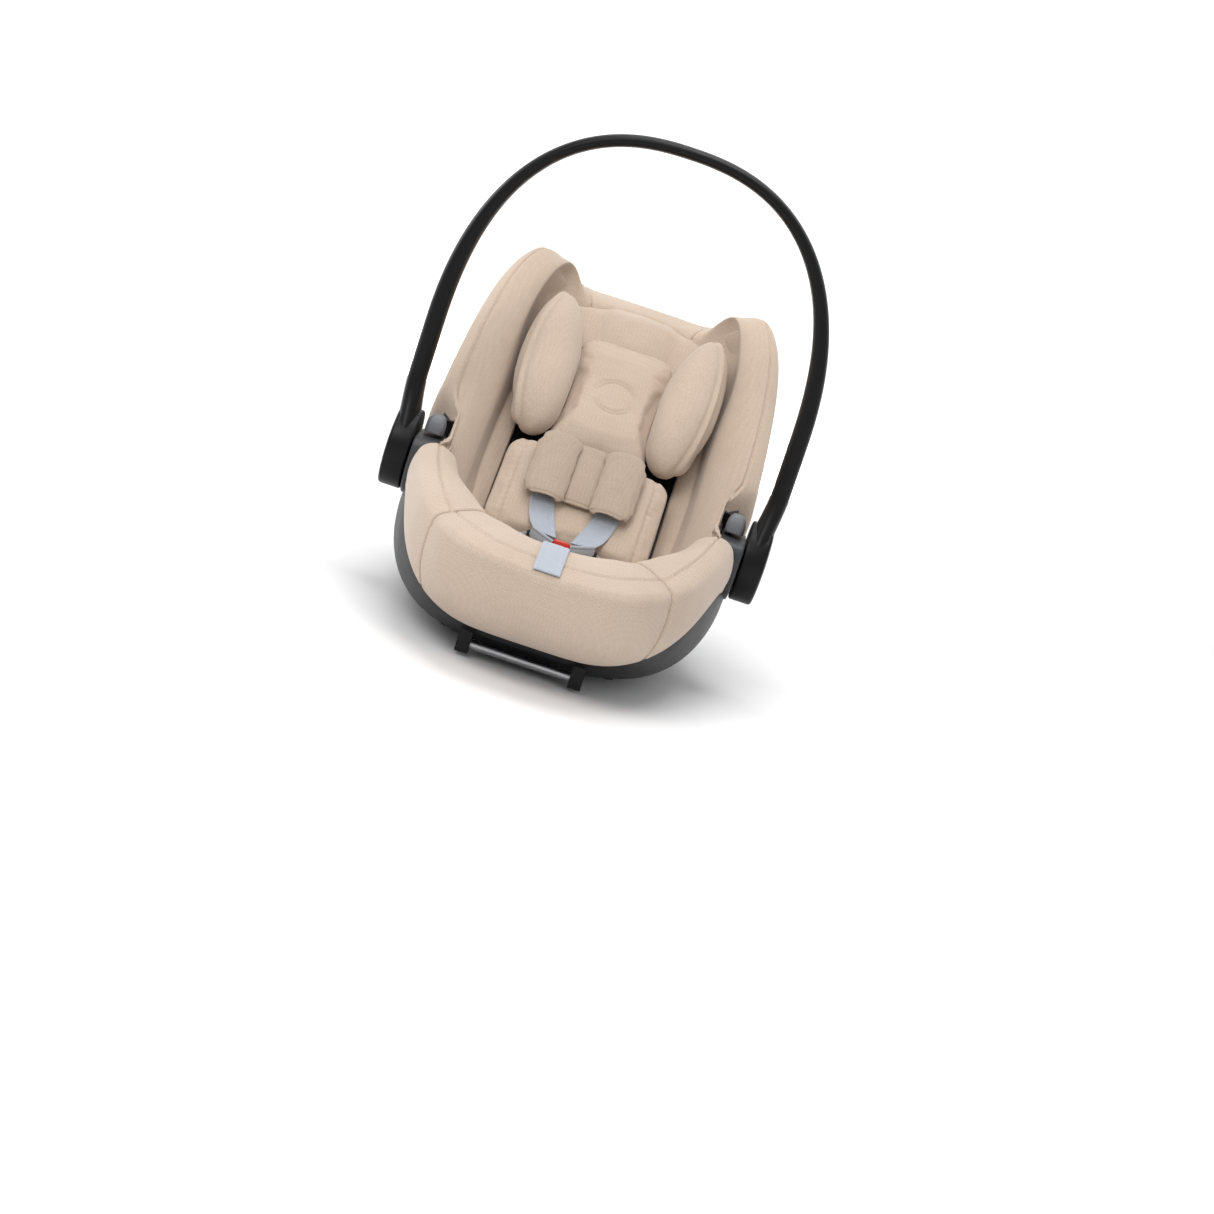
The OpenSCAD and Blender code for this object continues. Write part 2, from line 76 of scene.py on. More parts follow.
def planX(a):
    return power(np.cos(a), 2 / carrier["planPower"])


def planY(a):
    return power(np.sin(a), 2 / carrier["planPower"])


def crest(a):
    # height of the cover's crest: the foot's height, plus two smooth rises, less the dip between the wings
    s = planY(a)
    return (carrier["footRim"] + carrier["sideRise"] * ease(-1, 0, s) + carrier["backRise"] * ease(-0.1, 0.84, s)
            - carrier["topDip"] * ease(0.72, 1, s))


def footShare(a):
    return 1 - ease(-1, -0.3, planY(a))


def pad(a):
    return carrier["padDepth"] + carrier["footPad"] * footShare(a)


def fall(a):
    return carrier["footFall"] * footShare(a)


def lean(a):
    # how much further in the padding reaches at its foot than at its shoulder
    return carrier["lean"] * (1 - planY(a) ** 2)


def bowlPoint(a, d, o):
    # superellipse plan, drawn in by the wall's share at depth d, by o towards the inside, and bulging at the sides
    c = crest(a) - carrier["footHeight"]
    h = np.clip(d / c, 0, 1)
    s = planY(a)
    e = s * s
    p = carrier["sidePower"] + (carrier["endPower"] - carrier["sidePower"]) * e
    f = carrier["sideFloor"] + (carrier["endFloor"] - carrier["sideFloor"]) * e
    k = (1 - (1 - f ** p) * h ** p) ** (1 / p)
    w = (carrier["rimHalfWidth"] + carrier["rimTaper"] * s
         + carrier["sideBulge"] * np.sin(np.pi * h) * (1 - e) - o)
    length = carrier["halfLength"] + np.where(s < 0, carrier["footLead"], 0) - o
    return np.stack(np.broadcast_arrays(
        w * k * planX(a), length * k * s, carrier["footHeight"] + c - d + np.maximum(o, 0) * h), -1)


def depthAt(a, z, o):
    return (crest(a) - z) / (1 - o / (crest(a) - carrier["footHeight"]))


def legEnd(a):
    # where the padding's inner leg stops: just over the backrest plane, or over the seat cushion
    y = (carrier["halfLength"] - pad(a)) * planY(a)
    back = (carrier["backZ"] + ((y - carrier["backY"]) * math.sin(carrier["backAngle"]) - 0.020)
            / math.cos(carrier["backAngle"]))
    return np.maximum(carrier["cushionTop"] + 0.006, back)


def skirtDepth(a):
    # level round the head end, deeper towards the foot end
    s = planY(a)
    return (carrier["sideSkirt"] + (carrier["headSkirt"] - carrier["sideSkirt"]) * ease(0, 0.2, s)
            + (carrier["footSkirt"] - carrier["sideSkirt"]) * (1 - ease(-0.95, -0.3, s)))


def evenAngles(low, high, count):
    # angles in degrees whose points lie at equal distances along the rim
    fine = np.radians(np.linspace(low, high, 4000))
    points = bowlPoint(fine, 0.0, 0.0)
    walk = np.concatenate([[0], np.cumsum(np.linalg.norm(np.diff(points, axis=0), axis=1))])
    return np.interp(np.linspace(0, walk[-1], count), walk, fine)


def backPoint(x, v, w):
    # from the backrest's own frame: x across, v up along it, w out of its face
    c, s = math.cos(carrier["backAngle"]), math.sin(carrier["backAngle"])
    return np.stack(np.broadcast_arrays(x, carrier["backY"] + v * c - w * s, carrier["backZ"] + v * s + w * c), -1)


# ---- Mesh making
def gridFaces(rows, cols, loopRows=False, loopCols=True):
    # quads between neighbouring rows and columns of a grid of points
    i = np.arange(rows if loopRows else rows - 1)[:, None]
    j = np.arange(cols if loopCols else cols - 1)[None, :]
    i2, j2 = (i + 1) % rows, (j + 1) % cols
    return np.stack([i * cols + j, i * cols + j2, i2 * cols + j2, i2 * cols + j], -1).reshape(-1, 4)


def stripFaces(ring):
    # closes a ring of an even number of points with quads across it
    n = len(ring)
    j = np.arange(n // 2 - 1)
    return np.stack([ring[j], ring[n - 1 - j], ring[n - 2 - j], ring[j + 1]], -1)


def newMesh(name, points, faces, smooth=True):
    mesh = bpy.data.meshes.new(name)
    mesh.from_pydata(np.asarray(points, float).reshape(-1, 3).tolist(), [], [tuple(f) for f in np.asarray(faces).tolist()])
    mesh.validate()
    mesh.shade_smooth() if smooth else mesh.shade_flat()
    piece = bpy.data.objects.new(name, mesh)
    bpy.context.scene.collection.objects.link(piece)
    return piece


def outward(piece):
    # turns the faces so that the closed mesh holds a positive volume
    mesh = piece.data
    count = len(mesh.vertices)
    points = np.empty(count * 3)
    mesh.vertices.foreach_get("co", points)
    points = points.reshape(-1, 3)
    mesh.calc_loop_triangles()
    tris = np.empty(len(mesh.loop_triangles) * 3, int)
    mesh.loop_triangles.foreach_get("vertices", tris)
    a, b, c = (points[tris.reshape(-1, 3)[:, k]] for k in range(3))
    if np.einsum("ij,ij->i", a, np.cross(b, c)).sum() < 0:
        mesh.flip_normals()
    return piece


def ringSkin(name, rows, closed=False, capped=True):
    # a skin over rings of points, capped at both ends, or running round into itself
    m, n = rows.shape[:2]
    faces = [gridFaces(m, n, loopRows=closed)]
    if not closed and capped:
        faces += [stripFaces(np.arange(n)), stripFaces(np.arange((m - 1) * n, m * n)[::-1])]
    return outward(newMesh(name, rows, np.concatenate(faces)))


def smoothLine(points, count, closed=False):
    # Catmull-Rom curve through control points on the next-to-last axis, evenly sampled between them
    p = np.asarray(points, float)
    n = p.shape[-2]
    t = np.linspace(0, n if closed else n - 1, count, endpoint=not closed)
    k = np.minimum(t.astype(int), n - 1 if closed else n - 2)
    f = (t - k)[:, None]

    def at(i):
        if closed:
            return p[..., (k + i) % n, :]
        j = k + i
        first = 2 * p[..., :1, :] - p[..., 1:2, :]
        last = 2 * p[..., -1:, :] - p[..., -2:-1, :]
        return np.concatenate([first, p, last], -2)[..., j + 1, :]
    a, b, c, d = at(-1), at(0), at(1), at(2)
    return 0.5 * (2 * b + (c - a) * f + (2 * a - 5 * b + 4 * c - d) * f ** 2 + (3 * b - a - 3 * c + d) * f ** 3)


def gridNormals(points, loopCols=True):
    # unit normals of a grid from the cross product of its two directions
    across = (np.roll(points, -1, 1) - np.roll(points, 1, 1)) if loopCols else np.gradient(points, axis=1)
    along = np.gradient(points, axis=0)
    n = np.cross(across, along)
    return n / np.maximum(np.linalg.norm(n, axis=-1, keepdims=True), 1e-12)


def stand(piece, body, *nodes, slotName=None, finish=None):
    # puts a finished piece on its body, in place of its CAD nodes
    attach(piece, body)
    if nodes:
        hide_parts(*nodes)
    slotName or slotOf[nodes[0]]
    if finish:
        piece.data.materials.clear()
        piece.data.materials.append(finish)
    return piece


# ---- Materials
def newGroup(name, inputs, outputs):
    # an empty shader group with named float inputs and named outputs
    group = bpy.data.node_groups.new(name, "ShaderNodeTree")
    for key, value in inputs.items():
        socket = group.interface.new_socket(key, in_out="INPUT", socket_type="NodeSocketFloat")
        socket.default_value = value
    for key in outputs:
        group.interface.new_socket(key, in_out="OUTPUT", socket_type="NodeSocketFloat")
    return group, group.nodes.new("NodeGroupInput").outputs, group.nodes.new("NodeGroupOutput").inputs


def addNode(tree, kind, values=None, **settings):
    made = tree.nodes.new(kind)
    for key, value in settings.items():
        setattr(made, key, value)
    for key, value in (values or {}).items():
        if isinstance(value, bpy.types.NodeSocket):
            tree.links.new(value, made.inputs[key])
        else:
            made.inputs[key].default_value = value
    return made


def maths(tree, operation, a, b=0.0, c=0.0):
    return addNode(tree, "ShaderNodeMath", {0: a, 1: b, 2: c}, operation=operation).outputs[0]


def objectPlace(tree, scale):
    place = addNode(tree, "ShaderNodeTexCoord").outputs["Object"]
    return addNode(tree, "ShaderNodeMapping", {"Vector": place, "Scale": scale}).outputs[0]


def weaveGroup():
    # crossed threads from sines on the three axes, slubs from stretched noise, and a soft cloudy tone
    group, given, out = newGroup("clothWeave", {"Threads": 1500.0, "Slub": 0.5}, ("Tone", "Height"))
    place = addNode(group, "ShaderNodeTexCoord").outputs["Object"]
    split = addNode(group, "ShaderNodeSeparateXYZ", {0: place}).outputs
    waves = [maths(group, "SINE", maths(group, "MULTIPLY", split[k], given["Threads"])) for k in range(3)]
    thread = maths(group, "MULTIPLY", maths(group, "MULTIPLY", waves[0], waves[1]), waves[2])
    crossed = maths(group, "ADD", maths(group, "MULTIPLY", waves[0], waves[2]), maths(group, "MULTIPLY", waves[1], waves[2]))
    height = maths(group, "MULTIPLY_ADD", crossed, 0.35, thread)
    slubs = []
    for stretch in ((900, 900, 45), (45, 900, 900)):
        noise = addNode(group, "ShaderNodeTexNoise", {"Vector": objectPlace(group, stretch), "Scale": 1.0, "Detail": 3.0})
        slubs.append(noise.outputs["Fac"])
    slub = maths(group, "SUBTRACT", maths(group, "ADD", slubs[0], slubs[1]), 1.0)
    cloud = addNode(group, "ShaderNodeTexNoise", {"Vector": objectPlace(group, (9, 9, 9)), "Scale": 1.0, "Detail": 2.0})
    tone = maths(group, "MULTIPLY_ADD", slub, given["Slub"], maths(group, "MULTIPLY", cloud.outputs["Fac"], 0.35))
    group.links.new(maths(group, "ADD", tone, maths(group, "MULTIPLY", height, 0.10)), out["Tone"])
    group.links.new(maths(group, "ADD", height, slub), out["Height"])
    return group


def grainGroup():
    # moulded texture: small cells with a little cloudy gloss
    group, given, out = newGroup("mouldGrain", {"Cells": 900.0}, ("Height", "Gloss"))
    cells = addNode(group, "ShaderNodeTexVoronoi", {"Vector": objectPlace(group, (1, 1, 1)), "Scale": given["Cells"]},
                    feature="SMOOTH_F1")
    cloud = addNode(group, "ShaderNodeTexNoise", {"Vector": objectPlace(group, (14, 14, 14)), "Scale": 1.0, "Detail": 4.0})
    group.links.new(cells.outputs["Distance"], out["Height"])
    group.links.new(cloud.outputs["Fac"], out["Gloss"])
    return group


def wearGroup():
    # 1 on convex edges and 0 elsewhere, broken up by noise
    group, given, out = newGroup("edgeWear", {"Amount": 1.0}, ("Mask",))
    point = addNode(group, "ShaderNodeNewGeometry").outputs["Pointiness"]
    edge = addNode(group, "ShaderNodeMapRange", {0: point, 1: 0.52, 2: 0.62, 3: 0.0, 4: 1.0}).outputs[0]
    patch = addNode(group, "ShaderNodeTexNoise", {"Vector": objectPlace(group, (60, 60, 60)), "Scale": 1.0, "Detail": 3.0})
    group.links.new(maths(group, "MULTIPLY", maths(group, "MULTIPLY", edge, patch.outputs["Fac"]), given["Amount"]),
                    out["Mask"])
    return group


weave, grain, wear = weaveGroup(), grainGroup(), wearGroup()


def newMaterial(name):
    made = bpy.data.materials.new(name)
    made.use_nodes = True
    return made, made.node_tree, made.node_tree.nodes["Principled BSDF"]


def ramp(tree, factor, low, high, start=0.0, end=1.0):
    made = addNode(tree, "ShaderNodeValToRGB", {0: factor})
    made.color_ramp.elements[0].position, made.color_ramp.elements[1].position = start, end
    made.color_ramp.elements[0].color, made.color_ramp.elements[1].color = (*low, 1), (*high, 1)
    return made.outputs[0]


def cloth(name, dark, pale, threads=1500.0, slub=0.35, bump=0.13, sheen=0.25, rough=0.88):
    made, tree, shader = newMaterial(name)
    used = addNode(tree, "ShaderNodeGroup", node_tree=weave)
    used.inputs["Threads"].default_value, used.inputs["Slub"].default_value = threads, slub
    tree.links.new(ramp(tree, used.outputs["Tone"], dark, pale, -0.1, 0.55), shader.inputs["Base Color"])
    bumped = addNode(tree, "ShaderNodeBump", {"Height": used.outputs["Height"], "Strength": bump, "Distance": 0.0002})
    tree.links.new(bumped.outputs[0], shader.inputs["Normal"])
    shader.inputs["Roughness"].default_value = rough
    shader.inputs["Sheen Weight"].default_value = sheen
    shader.inputs["Sheen Roughness"].default_value = 0.45
    shader.inputs["Specular IOR Level"].default_value = 0.25
    return made


def moulded(name, colour, rough=0.42, cells=900.0, bump=0.08, worn=0.5, level=0.5):
    made, tree, shader = newMaterial(name)
    used = addNode(tree, "ShaderNodeGroup", node_tree=grain)
    used.inputs["Cells"].default_value = cells
    edge = addNode(tree, "ShaderNodeGroup", node_tree=wear)
    edge.inputs["Amount"].default_value = worn
    paler = tuple(0.75 * c + 0.055 for c in colour)
    tree.links.new(ramp(tree, edge.outputs["Mask"], colour, paler), shader.inputs["Base Color"])
    gloss = addNode(tree, "ShaderNodeMapRange", {0: used.outputs["Gloss"], 1: 0.3, 2: 0.7, 3: rough - 0.05, 4: rough + 0.06})
    tree.links.new(gloss.outputs[0], shader.inputs["Roughness"])
    bumped = addNode(tree, "ShaderNodeBump", {"Height": used.outputs["Height"], "Strength": bump, "Distance": 0.0004})
    tree.links.new(bumped.outputs[0], shader.inputs["Normal"])
    shader.inputs["Specular IOR Level"].default_value = level
    return made


def brushed(name, colour, rough=0.3):
    made, tree, shader = newMaterial(name)
    streak = addNode(tree, "ShaderNodeTexNoise", {"Vector": objectPlace(tree, (30, 900, 900)), "Scale": 1.0, "Detail": 4.0})
    tree.links.new(ramp(tree, streak.outputs["Fac"], tuple(0.8 * c for c in colour), colour), shader.inputs["Base Color"])
    spread = addNode(tree, "ShaderNodeMapRange", {0: streak.outputs["Fac"], 1: 0.3, 2: 0.7, 3: rough - 0.08, 4: rough + 0.1})
    tree.links.new(spread.outputs[0], shader.inputs["Roughness"])
    shader.inputs["Metallic"].default_value = 1.0
    return made


sand = {"dark": (0.45, 0.350, 0.272), "pale": (0.62, 0.508, 0.412)}
finishes = {
    "cover_fabric": cloth("sandCloth", sand["dark"], sand["pale"]),
    "inner_fabric": cloth("sandClothInner", (0.38, 0.293, 0.224), (0.53, 0.427, 0.342)),
    "webbing": cloth("paleWebbing", (0.34, 0.37, 0.42), (0.50, 0.54, 0.60), threads=2600.0, slub=0.3, bump=0.4, sheen=0.1,
                     rough=0.6),
    "shell_plastic": moulded("blackShell", (0.003, 0.003, 0.0035), rough=0.46, level=0.25, worn=0.10),
    "handle_plastic": moulded("satinBlack", (0.0015, 0.0015, 0.0018), rough=0.40, cells=1600.0, bump=0.04, level=0.22, worn=0.06),
    "grey_plastic": moulded("darkGrey", (0.028, 0.029, 0.032), rough=0.45),
    "button_plastic": moulded("buttonGrey", (0.16, 0.165, 0.18), rough=0.5, bump=0.05),
    "buckle_plastic": moulded("buckleBlack", (0.014, 0.014, 0.016), rough=0.38),
    "red_plastic": moulded("releaseRed", (0.60, 0.035, 0.020), rough=0.3, bump=0.02),
    "foot_rubber": moulded("footRubber", (0.014, 0.014, 0.015), rough=0.75, cells=500.0, bump=0.2),
    "liner_foam": moulded("beadFoam", (0.030, 0.030, 0.033), rough=0.85, cells=260.0, bump=0.6, worn=0.0),
    "steel": brushed("zincSteel", (0.56, 0.57, 0.59)),
    "label": cloth("labelTape", (0.66, 0.64, 0.58), (0.80, 0.78, 0.72), threads=2200.0, slub=0.1, bump=0.1, sheen=0.1, rough=0.7),
}
for node, thing in frame["nodes"].items():
    thing.data.materials.clear()
    thing.data.materials.append(finishes[slotOf[node]])
print("materials ready")


# ---- Camera, light and floor
view = {"azimuth": 1.3, "elevation": 10.0, "distance": 3.0, "lens": 80.7, "roll": 18.2, "right": 0.905, "down": 1.35, "height": 0.105}


def makeCamera():
    # stands on a sphere round a point under the handle, looks at it, rolls, then turns a little so that it sits off centre
    az, el = math.radians(view["azimuth"]), math.radians(view["elevation"])
    away = Vector((math.sin(az) * math.cos(el), -math.cos(az) * math.cos(el), math.sin(el)))
    camera = bpy.data.objects.new("camera", bpy.data.cameras.new("camera"))
    bpy.context.scene.collection.objects.link(camera)
    camera.data.lens, camera.data.sensor_width, camera.data.clip_end = view["lens"], 36.0, 60.0
    turn = away.to_track_quat("Z", "Y").to_matrix() @ Matrix.Rotation(math.radians(view["roll"]), 3, "Z")
    turn = turn @ Matrix.Rotation(-math.radians(view["down"]), 3, "X") @ Matrix.Rotation(-math.radians(view["right"]), 3, "Y")
    camera.matrix_world = Matrix.Translation(Vector((0, 0, view["height"])) + away * view["distance"]) @ turn.to_4x4()
    bpy.context.scene.camera = camera


studio = {
    "key": ((-1.2, -2.4, 2.9), 2.0, 50.0), "fill": ((2.6, -2.4, 1.1), 2.2, 7.0), "top": ((0.0, 0.3, 3.2), 2.4, 62.0),
    "wallWash": ((0.0, 1.6, 1.2), 2.6, 150.0),
    "rimLeft": ((-2.3, 1.2, 1.0), 1.2, 14.0), "world": (1.0, 1.0, 1.0), "strength": 0.62,
}


def makeLights():
    for name in ("key", "fill", "top", "rimLeft", "wallWash"):
        place, size, watts = studio[name]
        aim = Vector((0, 6, 1.5)) if name == "wallWash" else Vector((0, -0.05, 0.2))
        lamp = bpy.data.lights.new(name, "AREA")
        lamp.shape, lamp.size, lamp.energy = "DISK", size, watts
        holder = bpy.data.objects.new(name, lamp)
        holder.matrix_world = Matrix.Translation(place) @ (Vector(place) - aim).to_track_quat("Z", "Y").to_matrix().to_4x4()
        bpy.context.scene.collection.objects.link(holder)
    world = bpy.data.worlds.new("studioWorld")
    world.use_nodes = True
    world.node_tree.nodes["Background"].inputs[0].default_value = (*studio["world"], 1)
    world.node_tree.nodes["Background"].inputs[1].default_value = studio["strength"]
    bpy.context.scene.world = world
    bpy.context.scene.view_settings.view_transform = "Standard"


def makeFloor():
    # a wide pale ground whose back edge sweeps up: a profile of a flat run, a quarter turn and a wall
    t = np.linspace(0, math.pi / 2, 12)
    run = np.concatenate([[[-6, 0], [4, 0]], np.stack([4 + 2 * np.sin(t), 2 - 2 * np.cos(t)], -1)[1:], [[6, 8]]])
    rows = np.stack([np.stack([np.full(len(run), x), run[:, 0], run[:, 1]], -1) for x in (-8, 8)])
    floor = newMesh("floor", rows, gridFaces(2, len(run), loopCols=False)[:, ::-1])
    made, tree, shader = newMaterial("paleFloor")
    cloud = addNode(tree, "ShaderNodeTexNoise", {"Vector": objectPlace(tree, (2, 2, 2)), "Scale": 1.0, "Detail": 2.0})
    tree.links.new(ramp(tree, cloud.outputs["Fac"], (0.86, 0.86, 0.865), (0.89, 0.89, 0.895)), shader.inputs["Base Color"])
    shader.inputs["Roughness"].default_value = 0.9
    floor.data.materials.append(made)


makeCamera()
makeLights()
makeFloor()
print("camera, light and floor ready")


# ---- Shell: black wall from the floor up to a rounded rim, notched round the pivots
shell = {"angles": 360, "rings": 60, "drop": 0.0143, "pocket": 0.048, "flangeIn": 0.0, "bead": 0.0022}


def makeShell():
    # rows run from the floor up the outer face, round the rim and down the inner face; the rim's depth at each angle is
    # the cover's fall, or deeper where the pivot's circle crosses the wall
    a = evenAngles(-180, 180, shell["angles"] + 1)[:-1][None, :]
    rim = shell["drop"] + fall(a)
    here = bowlPoint(a, rim, 0.0)
    across = np.abs(here[..., 1])
    inside = across < shell["pocket"]
    notch = carrier["pivotHeight"] - np.sqrt(np.maximum(shell["pocket"] ** 2 - across ** 2, 0))
    rim = np.where(inside, np.maximum(rim, crest(a) - notch), rim)
    full = crest(a) - carrier["footHeight"]
    t = (np.linspace(0, 1, shell["rings"]) ** 1.4)[:, None]
    outer = bowlPoint(a, full + (rim - full) * t, 0.0 * t)
    turn = np.linspace(0, math.pi, 7)[1:-1, None]
    half = carrier["shellWall"] / 2
    lip = bowlPoint(a, rim - half * np.sin(turn) * 0.9, half * (1 - np.cos(turn)))
    inner = bowlPoint(a, full + (rim - full) * t[::-1], carrier["shellWall"] + 0 * t)
    rows = np.concatenate([outer, lip, inner])
    middle = np.array([0, 0, carrier["footHeight"]])
    points = rows.reshape(-1, 3)
    cols = a.shape[1]
    faces = [gridFaces(len(rows), cols)]
    # each floor narrows in rings to a small closed disc
    start, end = rows[0], rows[-1]
    for side, ring in ((0, start), (1, end)):
        inwards = [middle + (ring - middle) * k + [0, 0, carrier["shellWall"] * side * (1 - k)] for k in (0.75, 0.5, 0.25, 0.04)]
        first = len(points)
        points = np.concatenate([points] + inwards)
        edge = np.arange(cols) + (0 if side == 0 else (len(rows) - 1) * cols)
        chain = [edge] + [np.arange(cols) + first + k * cols for k in range(4)]
        for lowRing, highRing in zip(chain, chain[1:]):
            quad = np.stack([lowRing, highRing, np.roll(highRing, -1), np.roll(lowRing, -1)], -1)
            faces.append(quad if side == 0 else quad[:, ::-1])
        faces.append(stripFaces(chain[-1]) if side == 0 else stripFaces(chain[-1][::-1]))
    made = outward(newMesh("shellBody", points, np.concatenate(faces)))
    return stand(made, "root", "outer_shell", finish=finishes["shell_plastic"])


# ---- Carry handle: a tube that flares into a round lobe at each pivot
handle = {
    "halfWidth": 0.209, "spring": 0.285, "top": 0.557, "power": 2.4, "wallSide": 0.021, "wallTop": 0.014,
    "depth": 0.034, "flare": 0.027, "flareEnd": 0.095, "lobe": 0.045, "inner": 0.190, "outer": 0.214, "coverRadius": 0.0396,
    "coverOut": 0.218, "section": 40,
}


def makeHoop():
    # the middle line is straight to the spring line and then half a superellipse; the section is a superellipse that
    # thins towards the top, and its depth grows into the lobe below the spring
    rise = handle["top"] - handle["wallTop"] / 2 - handle["spring"]
    fine = np.linspace(0, math.pi, 4000)
    arc = np.stack([handle["halfWidth"] * power(np.cos(fine), 2 / handle["power"]),
                    handle["spring"] + rise * power(np.sin(fine), 2 / handle["power"])], -1)
    walk = np.concatenate([[0], np.cumsum(np.linalg.norm(np.diff(arc, axis=0), axis=1))])
    place = np.linspace(0, walk[-1], 180)
    arc = np.stack([np.interp(place, walk, arc[:, 0]), np.interp(place, walk, arc[:, 1])], -1)
    legZ = np.linspace(carrier["pivotHeight"], handle["spring"], 50)[:-1]
    leg = np.stack([np.full(len(legZ), handle["halfWidth"]), legZ], -1)
    middle = np.concatenate([leg, arc, (leg * [-1, 1])[::-1]])
    z = middle[:, 1]
    step = np.gradient(middle, axis=0)
    step /= np.linalg.norm(step, axis=1, keepdims=True)
    share = 1 - ease(0, handle["flareEnd"], z - carrier["pivotHeight"])
    foot = 1 - ease(0.155, 0.235, z)
    wall = handle["wallSide"] + (handle["wallTop"] - handle["wallSide"]) * ease(0, 1, (z - handle["spring"]) / rise)
    wall = wall + (handle["outer"] - handle["inner"] - 0.001 - wall) * foot
    depth = handle["depth"] + 2 * handle["flare"] * share ** 1.5
    shift = (handle["halfWidth"] - (handle["inner"] + handle["outer"]) / 2) * foot
    b = np.linspace(0, 2 * math.pi, handle["section"], endpoint=False)[None, :]
    out = wall[:, None] / 2 * power(np.cos(b), 0.74)
    along = depth[:, None] / 2 * power(np.sin(b), 0.8)
    rows = np.stack([(middle[:, 0] - np.sign(middle[:, 0]) * shift)[:, None] + out * step[:, 1:2],
                     along, z[:, None] - out * step[:, 0:1]], -1)
    return stand(ringSkin("handleHoop", rows), "handle", "carry_handle", finish=finishes["handle_plastic"])


def turned(name, profile, side=1, count=96, y=0.0, z=None):
    # a profile of (radius, x) turned about a line along X, closed at both ends
    b = np.linspace(0, 2 * math.pi, count, endpoint=False)[None, :]
    r, x = (np.asarray(profile)[:, k][:, None] for k in (0, 1))
    rows = np.stack([side * x + 0 * b, y + r * np.cos(b), (carrier["pivotHeight"] if z is None else z) + r * np.sin(b)], -1)
    return ringSkin(name, rows)


def roundedEdge(radius, x, r, inwards, steps=6):
    # quarter turn of radius r from a face at x to a rim at the given radius; inwards is the way into the disc along x
    t = np.linspace(0, math.pi / 2, steps)
    return np.stack([radius - r + r * np.sin(t), x + inwards * r * (1 - np.cos(t))], -1)


def makeLobes():
    # a thick disc with softened rims and a shallow dish, and a slightly domed cover in the dish
    h = handle
    face = np.array([[0.001, h["outer"]], [h["coverRadius"] + 0.0004, h["outer"]]])
    disc = np.concatenate([[[0.001, h["inner"]]], roundedEdge(h["lobe"], h["inner"], 0.0025, 1),
                           roundedEdge(h["lobe"], h["outer"] + 0.0016, 0.0035, -1)[::-1],
                           [[h["coverRadius"] + 0.0006, h["outer"] + 0.0016]], face[::-1]])
    t = np.linspace(0, 1, 14)
    dome = np.stack([np.maximum(h["coverRadius"] * t, 0.0008), h["coverOut"] - 0.0022 * t ** 2.4], -1)
    edge = roundedEdge(h["coverRadius"], h["coverOut"] - 0.0022, 0.0008, -1)[1:]
    cover = np.concatenate([dome[:-1], edge, [[h["coverRadius"], h["outer"] + 0.0002], [0.001, h["outer"] + 0.0002]]])
    for side, word in ((1, "right"), (-1, "left")):
        stand(turned("handleLobe_" + word, disc, side), "handle", "carry_handle", finish=finishes["handle_plastic"])
        stand(turned("lobeCover_" + word, cover, side), "handle", "lobe_cover_" + word, finish=finishes["handle_plastic"])


# ---- Pivot housings and the buttons on them
pivot = {"radius": 0.0475, "inner": 0.162, "outer": 0.1885, "top": 0.172,
         "capIn": 0.1625, "capOut": 0.184, "capHalf": 0.014, "capLow": 0.1764, "capTop": 0.197}


def makePivots():
    # housing: a disc whose radius is capped by its flat top; button: a superellipse block whose plan shrinks as it rises
    b = np.linspace(0, 2 * math.pi, 120, endpoint=False)[None, :]
    profile = np.concatenate([[[0.001, pivot["inner"]]], roundedEdge(pivot["radius"], pivot["inner"], 0.004, 1),
                              roundedEdge(pivot["radius"], pivot["outer"], 0.002, -1)[::-1], [[0.001, pivot["outer"]]]])
    r, x = profile[:, :1], profile[:, 1:]
    up = pivot["top"] - carrier["pivotHeight"]
    reach = (r ** -8.0 + (np.where(np.sin(b) > 0.05, up / np.maximum(np.sin(b), 0.05), 1.0)) ** -8.0) ** (-1 / 8)
    cap = np.linspace(0, 1, 26)[:, None]
    plan = (1 - cap ** 3.2) ** (1 / 2.6)
    halfX = (pivot["capOut"] - pivot["capIn"]) / 2
    for side, word in ((1, "right"), (-1, "left")):
        rows = np.stack([side * x + 0 * b, reach * np.cos(b), carrier["pivotHeight"] + reach * np.sin(b)], -1)
        stand(ringSkin("pivotHousing_" + word, rows), "root", "pivot_housing_" + word, finish=finishes["grey_plastic"])
        low = np.concatenate([[pivot["capLow"]], pivot["capLow"] + (pivot["capTop"] - pivot["capLow"]) * cap[:, 0]])
        size = np.concatenate([[0.86], np.maximum(plan[:, 0], 0.06)])[:, None]
        rows = np.stack([side * (pivot["capIn"] + halfX + halfX * size * power(np.cos(b), 0.5)),
                         pivot["capHalf"] * size * power(np.sin(b), 0.5), low[:, None] + 0 * b], -1)
        button = ringSkin("handleButton_" + word, rows)
        stand(button, "handle_button_" + word, "handle_button_" + word, finish=finishes["button_plastic"])


makeShell()
makeHoop()
makeLobes()
makePivots()
print("shell, handle and pivots ready")


# ---- Cover: padded fabric over the rim
cover = {
    "wing": (-5.0, 68.3), "arm": (-43.9, -5.6), "bumper": (-135.9, -44.1), "top": (68.4, 111.6),
    "columns": 200, "front": 230, "behind": 22, "endRadius": 0.0035, "kneeRadius": 0.024, "kneeThin": 0.010,
    "pocketStart": 0.024, "pocketEnd": 0.060, "pocketIn": 0.0125, "pocketRadius": 0.0495, "floorEdge": 0.0955, "wingSeam": 0.545,
    "armSeam": 0.53, "bumperSeam": 0.520, "tabEnd": 0.606,
    "wingPuff": 0.003, "armPuff": 0.003, "topPuff": 0.002, "bumperPuff": 0.004,
}
headrest = {"halfWidth": 0.050, "bottom": 0.160, "length": 0.184, "travel": 0.045, "eggX": 0.084, "eggV": 0.271, "eggW": 0.018,
            "eggSize": (0.074, 0.224, 0.076), "eggTurn": math.radians(-4)}


